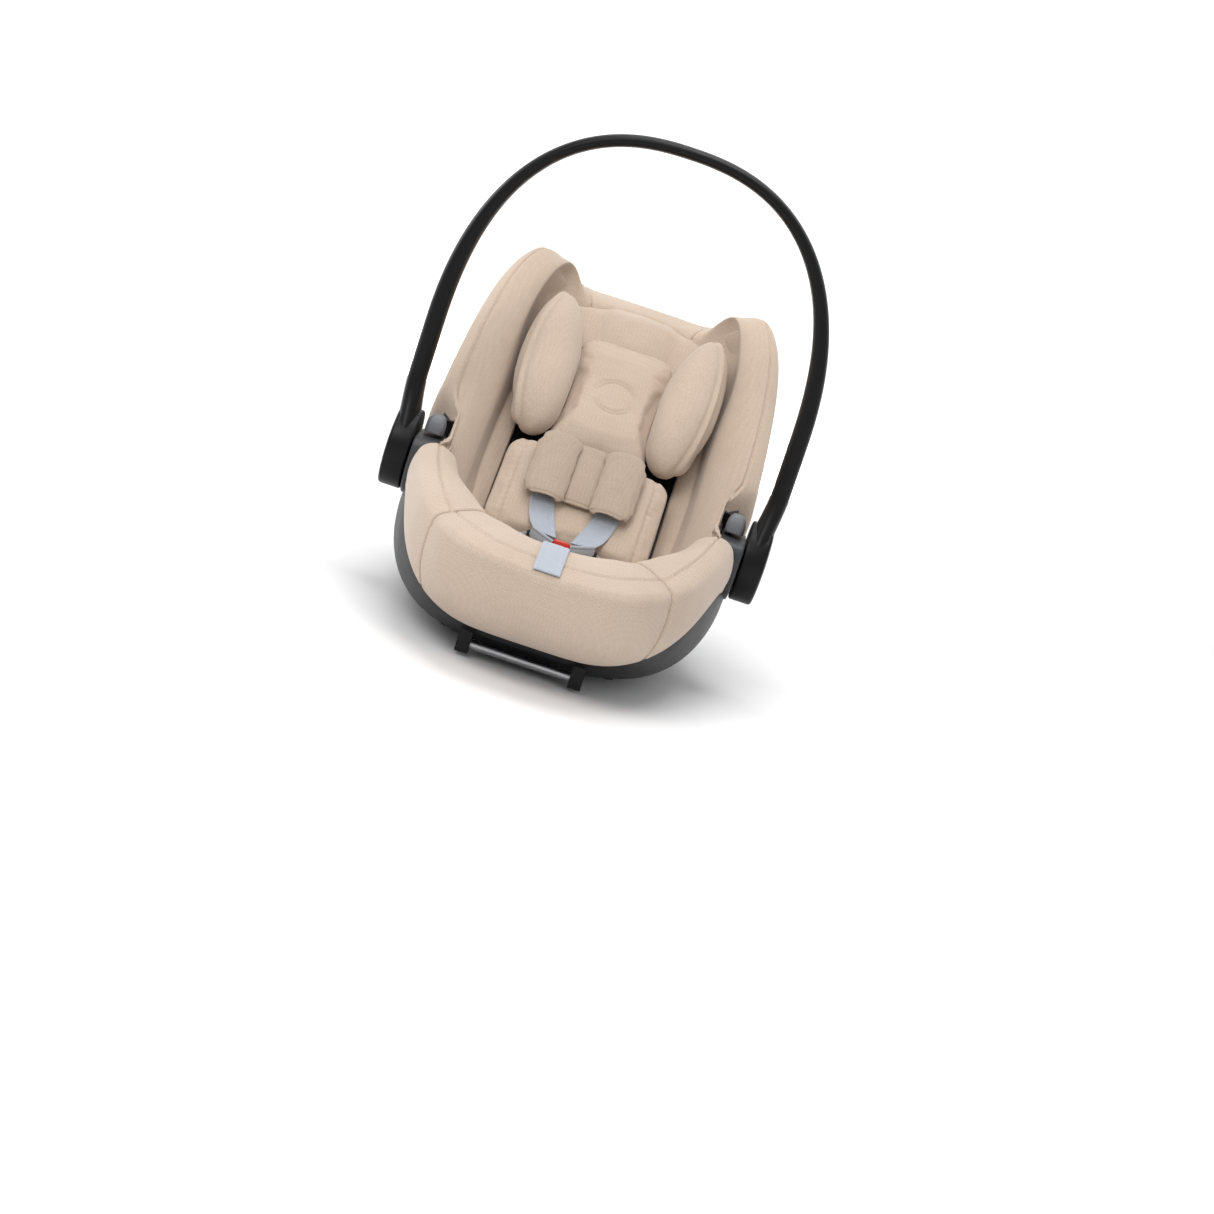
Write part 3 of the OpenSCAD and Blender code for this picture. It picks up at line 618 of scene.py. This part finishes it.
def backPlace(points):
    # the backrest's own coordinates (x, v, w) of points in space
    c, s = math.cos(carrier["backAngle"]), math.sin(carrier["backAngle"])
    y, z = points[..., 1] - carrier["backY"], points[..., 2] - carrier["backZ"]
    return np.stack([points[..., 0], y * c + z * s, -y * s + z * c], -1)


def clearEgg(points, gap):
    # moves points out of the bolster's channel: in the egg's own scale, where its skin is a unit sphere, a point's
    # distance q from the centre becomes a soft maximum of q and 1
    centre = np.array([headrest["eggX"], headrest["eggV"] + headrest["travel"] / 2, headrest["eggW"]])
    half = np.array(headrest["eggSize"]) / 2 + gap + np.array([0, headrest["travel"] / 2, 0])
    c, s = math.cos(headrest["eggTurn"]), math.sin(headrest["eggTurn"])
    d = backPlace(points) - centre
    d = np.stack([d[..., 0] * c + d[..., 1] * s, -d[..., 0] * s + d[..., 1] * c, d[..., 2]], -1) / half
    q = np.maximum(np.linalg.norm(d, axis=-1, keepdims=True), 0.2)
    soft = 0.14
    d = d * (1 + soft * np.logaddexp(0, (q - 1) / soft)) / q * half
    d = np.stack([d[..., 0] * c - d[..., 1] * s, d[..., 0] * s + d[..., 1] * c, d[..., 2]], -1) + centre
    return backPoint(d[..., 0], d[..., 1], d[..., 2])


def endRound(distance, radius):
    # how far a surface sinks near its end: a quarter circle
    t = np.clip(1 - distance / radius, 0, 1)
    return radius * (1 - np.sqrt(np.maximum(1 - t * t, 0)))


def seamDip(distance, width, depth):
    # a sewn groove: a narrow bell
    return depth * np.exp(-((distance / width) ** 2))


def pucker(along, across, pitch, reach):
    # small stitch puckers beside a seam, fading with distance
    return np.sin(along * 2 * math.pi / pitch) * np.exp(-((across / reach) ** 2))


def rimLines(a, raised, soft):
    # control lines of the padding at each angle: (inwards, down) from the seat over the crest to the skirt, then back.
    # Near the pivots the outer face draws in to clear the button, and the skirt ends above the housing's circle
    leg = depthAt(a, legEnd(a), pad(a) + lean(a))
    f = fall(a)
    y = np.abs(bowlPoint(a, 0.0, 0.0)[..., 1])
    near = 1 - ease(cover["pocketStart"], cover["pocketEnd"], y)
    skirt = -carrier["skirt"]
    side = skirt + (cover["pocketIn"] + 0.006 - skirt) * near
    circle = carrier["pivotHeight"] + np.sqrt(np.maximum(cover["pocketRadius"] ** 2 - y ** 2, 0))
    deep = np.where(y < cover["pocketRadius"], np.minimum(skirtDepth(a), crest(a) - circle), skirtDepth(a))
    first = np.minimum(f + 0.018, np.maximum(deep - 0.002, f + 0.008))
    deep = np.maximum(deep, first + 0.002)
    gap = -carrier["layerGap"] + (cover["pocketIn"] + 0.010 + carrier["layerGap"]) * near
    top = f + carrier["coverRise"]
    padBack = 0.0236
    low = np.maximum(top + 0.006, depthAt(a, legEnd(a), padBack))
    p, n = pad(a), lean(a)
    slope = soft * (1 - footShare(a))
    boxed = [(p + n, leg), (p + 0.8 * n, 0.8 * leg), (p + 0.6 * n, 0.6 * leg), (p + 0.2 * n, 0.4 * leg),
             (p - 0.007, np.minimum(0.008, 0.3 * leg)), (p - 0.020, 0 * leg)]
    eased = [(p + n, leg), (p + 0.75 * n, 0.78 * leg), (p + 0.5 * n - 0.001, 0.56 * leg), (p + 0.16 * n - 0.006, 0.34 * leg),
             (p - 0.018, 0.15 * leg), (p - 0.031, 0.05 * leg)]
    seen = [(b[0] + (e[0] - b[0]) * slope, b[1] + (e[1] - b[1]) * slope - raised) for b, e in zip(boxed, eased)]
    seen[0] = (p + n, leg)
    seen += [(0.006 + 0.012 * near, f - raised * 0.6), (side + 0.002, f + 0.006), (side, first)]
    seen += [(side + 0.0047 * (1 - near) * k * k, first + (deep - first) * k) for k in (0.33, 0.66, 1.0)]
    back = [(gap, first + (deep - first) * k) for k in (1.0, 0.5, 0.0)]
    back += [(gap + 0.001, np.maximum(top, first + 0.001)), (np.maximum(0.010, gap + 0.004), top), (padBack - 0.003, top),
             (padBack, top + 0.004)]
    back += [(padBack, top + 0.004 + (low - top - 0.004) * k) for k in (0.33, 0.66, 1.0)]

    def stack(lines):
        return np.stack([np.stack(np.broadcast_arrays(q[0], q[1], a), -1) for q in lines], 1)
    return stack(seen), stack(back)


def lengths(points, axis):
    # distance walked along one axis of a grid
    step = np.linalg.norm(np.diff(points, axis=axis), axis=-1)
    zero = np.zeros_like(np.take(step, [0], axis=axis))
    return np.concatenate([zero, np.cumsum(step, axis=axis)], axis=axis)


def rimPiece(name, nodes, ends, puff, seams, side=1, egg=False, knee=False, raised=0.0, tuck=False, soft=1.0):
    # a grid over angles and the padding's section: lifted into a crown, rounded at its ends, grooved along its seams
    # (shares of the way from the seat to the skirt's lower edge), and closed by its back face
    a = evenAngles(*ends, cover["columns"])
    seen, back = rimLines(a, raised, soft)
    seen, back = smoothLine(seen, cover["front"]), smoothLine(back, cover["behind"])
    front = bowlPoint(seen[..., 2], seen[..., 1], seen[..., 0])
    behind = bowlPoint(back[..., 2], back[..., 1], back[..., 0])
    normal = gridNormals(front, loopCols=False)
    core = np.concatenate([front, behind], 1).mean(1, keepdims=True)
    normal = normal * np.sign(np.einsum("ijk,ijk->ij", normal, front - core).sum())
    walkA, walkB = lengths(front, 0), lengths(front, 1)
    toHigh, fromSkirt = walkA[-1:] - walkA, walkB[:, -1:] - walkB
    end = np.minimum(walkA, toHigh)
    share = walkB / walkB[:, -1:]
    lift = puff * np.sin(np.pi * share) ** 0.8 * ease(0, 0.045, end) - endRound(end, cover["endRadius"])
    if knee:
        lift = lift - endRound(toHigh, cover["kneeRadius"]) + endRound(toHigh, cover["endRadius"])
    for seam in seams:
        seam = fromSkirt[:, int(cover["front"] * seam)][:, None]
        lift = lift - seamDip(fromSkirt - seam, 0.0014, 0.0027) + 0.0002 * pucker(walkA, fromSkirt - seam, 0.0085, 0.006)
    lift = lift + 0.0002 * pucker(walkB, end - 0.002, 0.0080, 0.007)
    front = front + normal * lift[..., None]
    if egg:
        front = clearEgg(front, 0.003)
    if tuck:
        # the inner foot runs on under the insert: a short curve from the wall to the edge of the seat's floor
        foot = front[:, :1]
        goal = foot * [0, 1, 1] + np.stack([np.minimum(foot[..., 0], cover["floorEdge"]), 0 * foot[..., 0], 0 * foot[..., 0]], -1)
        t = np.linspace(0, 1, 9)[None, :-1, None]
        front = np.concatenate([goal + (foot - goal) * t - np.array([0, 0, 0.004]) * (1 - t) ** 2, front], 1)
    rows = np.concatenate([front, behind], 1)
    piece = stand(ringSkin(name, rows * [side, 1, 1]), "root", *nodes, finish=finishes["cover_fabric"])
    return piece


def makeCover():
    c = cover
    for side, word in ((1, "right"), (-1, "left")):
        rimPiece("wingCover_" + word, ["wing_" + word], c["wing"], c["wingPuff"], (c["wingSeam"],), side, egg=True, tuck=True)
        rimPiece("armCover_" + word, ["arm_cover_" + word], c["arm"], c["armPuff"], (c["armSeam"],), side, knee=True, tuck=True, soft=0.6)
    rimPiece("topCover", ["top_panel"], c["top"], c["topPuff"], (c["wingSeam"],))
    rimPiece("bumperCover", ["front_bumper"], c["bumper"], c["bumperPuff"], (c["bumperSeam"],))


makeCover()
print("cover ready")


# ---- Padded pieces: a rounded block, blown up as cloth, then seamed
def paddedBlock(name, low, high, corner, cells=(40, 48, 8), edge=0.45, place=None):
    # a superellipse plan in x and v with radius corner, and a pillow-shaped height between two w values
    n = 4 * (cells[0] // 2)
    b = np.linspace(0, 2 * math.pi, n, endpoint=False)[None, :]
    halfX, halfV = (high[0] - low[0]) / 2, (high[1] - low[1]) / 2
    e = 2 / (2 + 6 * (1 - corner / min(halfX, halfV)))
    px, pv = halfX * power(np.cos(b), e), halfV * power(np.sin(b), e)
    t = np.linspace(0, math.pi, 2 * cells[2])[:, None]
    shrink = np.sin(t) ** edge
    height = (high[2] + low[2]) / 2 - (high[2] - low[2]) / 2 * power(np.cos(t), edge + 0.15)
    fill = np.linspace(0.02, 1, 12)[:-1, None]
    capLow = [px * shrink[1] * fill, pv * shrink[1] * fill, height[1] + 0 * px * fill]
    x = np.concatenate([capLow[0], px * shrink[1:-1], capLow[0][::-1]])
    v = np.concatenate([capLow[1], pv * shrink[1:-1], capLow[1][::-1]])
    w = np.concatenate([capLow[2] + 0 * capLow[0], height[1:-1] + 0 * px, 0 * capLow[0] + height[-2]])
    x, v = x + (high[0] + low[0]) / 2, v + (high[1] + low[1]) / 2
    rows = (place or backPoint)(x, v, w)
    return ringSkin(name, rows)


def readPoints(mesh):
    points = np.empty(len(mesh.vertices) * 3)
    mesh.vertices.foreach_get("co", points)
    return points.reshape(-1, 3)


def blow(piece, cap, voxel=0.005, pressure=4.0, frames=20, pinned=None):
    # voxel remesh, cloth with pressure and no gravity, movement capped, one subdivision
    scene = bpy.context.scene
    bpy.context.view_layer.objects.active = piece
    remesh = piece.modifiers.new("remesh", "REMESH")
    remesh.mode, remesh.voxel_size, remesh.use_smooth_shade = "VOXEL", voxel, True
    calm = piece.modifiers.new("calm", "SMOOTH")
    calm.factor, calm.iterations = 0.5, 6
    solid = bpy.data.meshes.new_from_object(piece.evaluated_get(bpy.context.evaluated_depsgraph_get()))
    piece.modifiers.clear()
    piece.data = solid
    start = readPoints(solid)
    soft = piece.modifiers.new("cloth", "CLOTH")
    s = soft.settings
    s.quality, s.mass, s.tension_stiffness, s.compression_stiffness, s.bending_stiffness = 5, 0.3, 15, 15, 0.5
    s.use_pressure, s.uniform_pressure_force = True, pressure
    s.effector_weights.gravity = 0
    soft.collision_settings.use_collision = False
    soft.point_cache.frame_start, soft.point_cache.frame_end = 1, frames
    for number in range(1, frames + 1):
        scene.frame_set(number)
    moved = bpy.data.meshes.new_from_object(piece.evaluated_get(bpy.context.evaluated_depsgraph_get()))
    ended = readPoints(moved)
    piece.modifiers.clear()
    scene.frame_set(1)
    step = ended - start
    far = np.linalg.norm(step, axis=1, keepdims=True)
    solid.vertices.foreach_set("co", (start + step * np.minimum(1, cap / np.maximum(far, 1e-9))).ravel())
    finer = piece.modifiers.new("finer", "SUBSURF")
    finer.levels = finer.render_levels = 1
    solid = bpy.data.meshes.new_from_object(piece.evaluated_get(bpy.context.evaluated_depsgraph_get()))
    piece.modifiers.clear()
    piece.data = solid
    solid.shade_smooth()
    return piece


def press(piece, rule):
    # moves every point along its normal by rule(x, v, w, facing), in the backrest's coordinates
    mesh = piece.data
    points = readPoints(mesh)
    normals = np.empty(len(points) * 3)
    mesh.vertex_normals.foreach_get("vector", normals)
    normals = normals.reshape(-1, 3)
    local = backPlace(points)
    facing = normals @ np.array([0, -math.sin(carrier["backAngle"]), math.cos(carrier["backAngle"])])
    move = rule(local[:, 0], local[:, 1], local[:, 2], facing)
    mesh.vertices.foreach_set("co", (points + normals * move[:, None]).ravel())
    mesh.update()
    return piece


def lineDip(distance, width=0.0018, depth=0.0020):
    return -depth * np.exp(-((distance / width) ** 2))


def makeHeadrest():
    h = headrest
    top = h["bottom"] + h["length"]

    def panelShape(x, v, w):
        # the plan flares at the foot
        flare = 1 + 0.15 * (1 - ease(h["bottom"], h["bottom"] + 0.035, v))
        return backPoint(x * flare, v, w)
    panel = paddedBlock("headrestPanel", (-0.0570, h["bottom"] + 0.001, -0.0078), (0.0570, top - 0.001, 0.015), 0.004,
                        (80, 48, 8), 0.30, panelShape)
    blow(panel, 0.006, 0.004)

    def panelSeams(x, v, w, facing):
        front = ease(0.2, 0.7, facing)
        r = np.hypot(x, v - (h["bottom"] + 0.090))
        rings = sum(lineDip(r - k, 0.0013, 0.0016) for k in (0.0215, 0.0250))
        rim = 0.0008 * ease(0.0215, 0.0232, r) * (1 - ease(0.0232, 0.0250, r))
        return front * (rings + rim + lineDip(v - (top - 0.012), 0.0016, 0.0016)
                        + 0.00025 * pucker(x, v - (top - 0.012), 0.008, 0.005))
    stand(press(panel, panelSeams), "headrest", "headrest_panel", finish=finishes["cover_fabric"])

    # bolster: an egg cut flat at its back and beside the panel, with a welt round its outer edge
    t = np.linspace(0, math.pi, 40)[:, None]
    b = np.linspace(0, 2 * math.pi, 72, endpoint=False)[None, :]
    grow = np.clip(np.sin(t), 0.01, 1)
    c, s = math.cos(h["eggTurn"]), math.sin(h["eggTurn"])
    for side, word in ((1, "right"), (-1, "left")):
        ex = (h["eggSize"][0] / 2 - 0.002) * np.cos(b) * grow ** 0.9 * (1 + 0.10 * np.cos(t))
        ev = -(h["eggSize"][1] / 2 - 0.002) * np.cos(t) + 0 * b
        ew = (h["eggSize"][2] / 2 - 0.003) * np.sin(b) * grow ** 0.9
        x, v, w = h["eggX"] + ex * c - ev * s, h["eggV"] + ex * s + ev * c, h["eggW"] + ew
        x = np.maximum(x, h["halfWidth"] + 0.0012)
        w = np.maximum(w, -0.0062)
        bolster = ringSkin("bolsterPad_" + word, backPoint(side * x, v, w))
        blow(bolster, 0.005, 0.0045)

        def welt(x, v, w, facing, side=side):
            # the welt runs where the egg turns from its front to its outer side
            dx, dv = side * x - h["eggX"], v - h["eggV"]
            along = dv / (h["eggSize"][1] / 2)
            edge = 0.026 * np.sqrt(np.maximum(1 - along ** 2, 0.001))
            off = (dx - edge)
            sideways = (w > 0.002) * 1.0
            return sideways * (0.0022 * np.exp(-((off / 0.0020) ** 2)) - 0.0022 * np.exp(-(((off - 0.0042) / 0.0022) ** 2))
                               - 0.0012 * np.exp(-(((off + 0.0042) / 0.0022) ** 2)))
        stand(press(bolster, welt), "headrest", "bolster_" + word, finish=finishes["cover_fabric"])


def makeInsert():
    insert = paddedBlock("newbornInsert", (-0.0985, 0.0135, 0.0015), (0.0985, 0.1585, 0.0215), 0.006, (80, 48, 8), 0.32)
    blow(insert, 0.004, 0.005)

    def channels(x, v, w, facing):
        # a channel down each side, and puckers beside it
        front = ease(0.2, 0.7, facing)
        off = np.abs(x) - (0.078 - 0.12 * np.maximum(v - 0.13, 0))
        return front * (lineDip(off, 0.0020, 0.0022) + 0.0003 * pucker(v, off, 0.009, 0.006))
    stand(press(insert, channels), "root", "newborn_insert", finish=finishes["cover_fabric"])
    back = paddedBlock("backCushion", (-0.0990, 0.0170, -0.0205), (0.0990, 0.1480, -0.0030), 0.014, (80, 48, 8), 0.30)
    blow(back, 0.003, 0.005)
    stand(back, "root", "back_cushion", finish=finishes["cover_fabric"])
    seat = paddedBlock("seatCushion", (-0.1020, -0.2170, 0.0540), (0.1020, -0.0470, 0.0805), 0.050, (80, 48, 8), 0.30,
                       lambda x, y, z: np.stack([x, y, z], -1))
    blow(seat, 0.005, 0.005)
    stand(seat, "root", "seat_cushion", finish=finishes["cover_fabric"])


def bendAcross(piece, start, end):
    # turns start and end, both points of the backrest, into points in space, which nothing uses, and bakes the piece's
    # transform into its mesh
    tuple(backPoint(*map(np.float64, start)))
    tuple(backPoint(*map(np.float64, end)))
    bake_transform(piece)


def dressed(piece, slotName, finish, *nodes):
    if nodes:
        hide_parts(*nodes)
    piece.data.materials.clear()
    piece.data.materials.append(finish)
    return piece


def makeCurtain():
    # the fabric between the headrest's top and the top panel: a thin form that bulges forward in its middle
    c = curtain
    v = np.linspace(c["low"], c["high"], 40)[:, None]
    b = np.linspace(0, 2 * math.pi, 120, endpoint=False)[None, :]
    x = c["halfWidth"] * power(np.cos(b), 0.35) + 0 * v
    middle = c["w"] - c["drop"] * ease(c["dropStart"], c["high"], v)
    bulge = c["bulge"] * np.sin(np.pi * (v - c["low"]) / (c["high"] - c["low"])) ** 0.7 * (1 - ease(0.026, 0.048, np.abs(x)))
    w = middle + c["thick"] / 2 * power(np.sin(b), 0.5) + bulge * (np.sin(b) > 0.01)
    piece = ringSkin("headrestCurtain", backPoint(x, v + 0 * x, w))
    dressed(piece, "cover_fabric", finishes["cover_fabric"])
    bendAcross(piece, (0, c["bendTop"], c["w"]), (0, c["bendLow"], c["w"]))


curtain = {"low": 0.337, "high": 0.430, "halfWidth": 0.094, "w": -0.0090, "thick": 0.0012, "bulge": 0.010, "drop": 0.012,
           "dropStart": 0.395, "bendTop": 0.395, "bendLow": 0.345}


# ---- Harness
harness = {
    "padIn": 0.0115, "padOut": 0.0635, "padLow": 0.058, "padHigh": 0.159, "arch": 0.0095, "padThick": 0.0050, "padW": 0.0278,
    "bridgeHalf": 0.0195, "bridgeLow": 0.066, "webbing": 0.028, "webbingThick": 0.0016, "lanes": 5,
}


def webbingStrip(name, path, sides, width, count=70, thick=None):
    # a flat strap: a smooth path and side vectors, a section with rounded edges, and shallow lanes woven lengthwise
    thick = thick or harness["webbingThick"]
    line = smoothLine(np.array([path], float), count)[0]
    side = smoothLine(np.array([sides], float), count)[0]
    side = side / np.linalg.norm(side, axis=1, keepdims=True)
    ahead = np.gradient(line, axis=0)
    side = side - ahead * (side * ahead).sum(1, keepdims=True) / (ahead * ahead).sum(1, keepdims=True)
    side = side / np.linalg.norm(side, axis=1, keepdims=True)
    up = np.cross(side, ahead)
    up = up / np.linalg.norm(up, axis=1, keepdims=True)
    b = np.linspace(0, 2 * math.pi, 96, endpoint=False)
    s = power(np.cos(b), 0.30)
    t = power(np.sin(b), 0.45) * (1 - 0.5 * np.abs(np.cos(np.pi * harness["lanes"] * (s + 1) / 2)) ** 6)
    rows = line[:, None] + side[:, None] * (s * width / 2)[None, :, None] + up[:, None] * (t * thick / 2)[None, :, None]
    return ringSkin(name, rows)


def block(name, low, high, corner, edge, place, steps=8):
    # a block with round corners in plan and rounded rims: a rounded rectangle drawn in by a quarter circle at both ends
    halfA, halfB = (high[0] - low[0]) / 2, (high[1] - low[1]) / 2
    q = np.linspace(0, math.pi / 2, steps)
    turn = np.concatenate([q + k * math.pi / 2 for k in range(4)])
    midA = (halfA - corner) * np.repeat([1, -1, -1, 1], steps)
    midB = (halfB - corner) * np.repeat([1, 1, -1, -1], steps)
    t = np.linspace(0, math.pi / 2, steps)
    inset = np.concatenate([edge * (1 - np.sin(t)), edge * (1 - np.cos(t))])
    height = np.concatenate([low[2] + edge * (1 - np.cos(t)), high[2] - edge * (1 - np.sin(t))])
    ringA = midA[None] + (corner - inset[:, None]) * np.cos(turn)[None]
    ringB = midB[None] + (corner - inset[:, None]) * np.sin(turn)[None]
    height = height[:, None] + 0 * ringA
    shrink = np.linspace(0.05, 0.9, 5)[:, None]
    a = np.concatenate([ringA[:1] * shrink, ringA, ringA[-1:] * shrink[::-1]])
    b = np.concatenate([ringB[:1] * shrink, ringB, ringB[-1:] * shrink[::-1]])
    height = np.concatenate([height[:1] + 0 * shrink, height, height[-1:] + 0 * shrink])
    return ringSkin(name, place(a + (high[0] + low[0]) / 2, b + (high[1] + low[1]) / 2, height))


def makeHarness():
    h = harness
    middle, half = (h["padIn"] + h["padOut"]) / 2, (h["padOut"] - h["padIn"]) / 2
    for side, word in ((1, "right"), (-1, "left")):
        def arched(x, v, w, side=side):
            # the pad bends over the strap as an arch and stays flat along it
            across = np.clip((x - middle) / half, -1, 1)
            return backPoint(side * x, v, w + h["arch"] * (1 - np.abs(across) ** 2.6))
        padding = paddedBlock("harnessPad_" + word, (h["padIn"], h["padLow"], h["padW"] + 0.0004),
                              (h["padOut"], h["padHigh"], h["padW"] + h["padThick"]), 0.006, (60, 48, 8), 0.30, arched)
        blow(padding, 0.0025, 0.0035)

        def hem(x, v, w, facing, side=side):
            low, outer = v - (h["padLow"] + 0.006), h["padOut"] - 0.005 - side * x
            return (lineDip(low, 0.0012, 0.0009) + 0.0004 * np.exp(-(((low + 0.004) / 0.002) ** 2))
                    + 0.6 * lineDip(outer, 0.0013, 0.0008) + 0.00015 * pucker(x, low, 0.006, 0.004))
        stand(press(padding, hem), "headrest", "harness_pad_" + word, finish=finishes["inner_fabric"])
        # shoulder strap: out of the pad, down the insert and on to the tongue
        path = backPoint(*[np.array(k) for k in zip((side * 0.039, 0.150, 0.0264), (side * 0.039, 0.100, 0.0264),
                                                    (side * 0.037, 0.070, 0.0268), (side * 0.032, 0.046, 0.0270),
                                                    (side * 0.025, 0.026, 0.0300))])
        path = np.concatenate([path, [[side * 0.021, -0.076, 0.121]]])
        strap = webbingStrip("shoulderStrap_" + word, path, [[1, 0, 0]] * 4 + [[0.96, side * 0.10, 0.16 * side]] * 2, h["webbing"])
        dressed(strap, "webbing", finishes["webbing"], "shoulder_strap_" + word)
        bendAcross(strap, (0, 0.030, 0.026), (0, 0.095, 0.026))
        hip = webbingStrip("hipStrap_" + word, [[side * k[0], k[1], k[2]] for k in ((0.024, -0.083, 0.119), (0.040, -0.085, 0.111),
                           (0.064, -0.087, 0.100), (0.088, -0.087, 0.093))], [[0, 0.1, 1]] * 4, h["webbing"] / 2)
        stand(hip, "root", "hip_strap_" + word, finish=finishes["webbing"])
        sleeve = webbingStrip("tongueSleeve_" + word, [[side * 0.0115, -0.0985, 0.1140], [side * 0.020, -0.0975, 0.1165],
                                                       [side * 0.0355, -0.0890, 0.1200]], [[0, -0.25, 1]] * 3, 0.0170, thick=0.0030)
        stand(sleeve, "root", slotName="webbing", finish=finishes["webbing"])
        tongue = block("tongue_" + word, (0.001, 0.108, -0.0832), (0.0165, 0.1175, -0.0800), 0.004, 0.0010,
                       lambda x, z, y, side=side: np.stack([side * x, y, z], -1))
        hook = block("tongueHook_" + word, (0.0320, 0.1135, -0.0900), (0.0395, 0.1225, -0.0855), 0.0025, 0.0012,
                     lambda x, z, y, side=side: np.stack([side * x, y, z], -1))
        stand(hook, "root", slotName="buckle_plastic", finish=finishes["buckle_plastic"])
        stand(tongue, "root", "tongue_" + word, finish=finishes["buckle_plastic"])
    bridge = paddedBlock("padBridge", (-h["bridgeHalf"], h["bridgeLow"], h["padW"] + 0.0004),
                         (h["bridgeHalf"], h["padHigh"] - 0.001, h["padW"] + 0.0055), 0.003, (48, 48, 8), 0.35)
    blow(bridge, 0.002, 0.003)

    def piped(x, v, w, facing):
        low = v - (h["bridgeLow"] + 0.0055)
        return lineDip(low, 0.0011, 0.0010) + 0.0006 * np.exp(-(((low + 0.003) / 0.0016) ** 2))
    stand(press(bridge, piped), "headrest", "pad_bridge", finish=finishes["inner_fabric"])


def makeBuckle():
    def upright(x, z, y):
        return np.stack([x, y, z], -1)
    body = block("buckleBody", (-0.022, 0.091, -0.0955), (0.022, 0.1165, -0.0745), 0.007, 0.003, upright)
    stand(body, "root", "buckle_body", finish=finishes["buckle_plastic"])

    def domed(x, z, y):
        # the button's face bulges towards the user and its top edge is a low arc
        share = np.clip(1 - (x / 0.0105) ** 2, 0, 1)
        return np.stack([x, y - 0.0022 * share * (y < -0.096), z - 0.0025 * (1 - share) * ease(0.108, 0.122, z)], -1)
    button = block("buckleButton", (-0.0110, 0.1005, -0.0985), (0.0110, 0.1240, -0.0930), 0.0035, 0.0012, domed)
    stand(button, "buckle_button", "buckle_button", finish=finishes["red_plastic"])
    crotch = webbingStrip("crotchStrap", [[0, -0.0861, 0.0835], [0, -0.0861, 0.087], [0, -0.0861, 0.0925]], [[1, 0, 0]] * 3,
                          harness["webbing"] - 0.006)
    stand(crotch, "root", "crotch_strap", finish=finishes["webbing"])
    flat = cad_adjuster["y"]
    case = block("adjusterCase", (-0.020, flat - 0.012, 0.0842), (0.020, flat + 0.012, 0.0930), 0.005, 0.002,
                 lambda x, y, z: np.stack([x, y, z], -1))
    stand(case, "root", "harness_adjuster", finish=finishes["buckle_plastic"])
    key = block("adjusterButton", (-0.008, flat - 0.008, 0.0922), (0.008, flat + 0.008, 0.0968), 0.003, 0.0012,
                lambda x, y, z: np.stack([x, y, z], -1))
    stand(key, "adjuster_button", "adjuster_button", finish=finishes["button_plastic"])


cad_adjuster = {"y": -0.166}


def makeTab():
    # the pull strap leaves the adjuster, climbs the bumper's inner face, and lies over its crest and seam
    a = np.array([-math.pi / 2])
    line = smoothLine(rimLines(a, 0.0, 1.0)[0], cover["front"])
    points = bowlPoint(line[..., 2], line[..., 1], line[..., 0])[0]
    walked = lengths(points, 0)
    ahead = np.gradient(points, axis=0)
    normal = np.stack([0 * walked, ahead[:, 2], -ahead[:, 1]], -1)
    normal = normal / np.linalg.norm(normal, axis=1, keepdims=True)
    normal = normal * np.sign(normal[len(normal) // 3, 2])
    points = points + normal * (cover["bumperPuff"] * np.sin(np.pi * walked / walked[-1]) ** 0.8 + 0.0022)[:, None]
    start = [[0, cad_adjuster["y"] - 0.013, carrier["cushionTop"] + 0.002]]
    path = np.concatenate([start, points[4:int(cover["front"] * cover["tabEnd"]):6]])
    tab = webbingStrip("adjusterStrap", path, [[1, 0, 0]] * len(path), harness["webbing"], 120)
    stand(tab, "root", "adjuster_strap", finish=finishes["webbing"])


def makeTrimmings():
    # a blank care label in the left arm's seam, and a small padded flap beside each pivot housing
    label = webbingStrip("careLabel", [[-0.171, -0.050, 0.166], [-0.163, -0.054, 0.150], [-0.154, -0.057, 0.136], [-0.149, -0.056, 0.124]],
                         [[0.15, -1, 0.2], [0.1, -1, 0.1], [0.2, -1, 0.1], [0.3, -1, 0.2]], 0.014, thick=0.0010)
    stand(label, "root", slotName="cover_fabric", finish=finishes["label"])
    for side, word in ((1, "right"), (-1, "left")):
        flap = paddedBlock("sideFlap_" + word, (0.158, 0.114, -0.072), (0.181, 0.142, -0.060), 0.010, (40, 32, 8), 0.5,
                           lambda x, z, y, side=side: np.stack([side * x, y, z], -1))
        blow(flap, 0.001, 0.002)
        stand(flap, "root", slotName="cover_fabric", finish=finishes["cover_fabric"])


makeHeadrest()
makeInsert()
makeCurtain()
print("headrest and insert ready")
makeHarness()
makeBuckle()
makeTab()
makeTrimmings()
print("harness ready")


# ---- End
print("done")
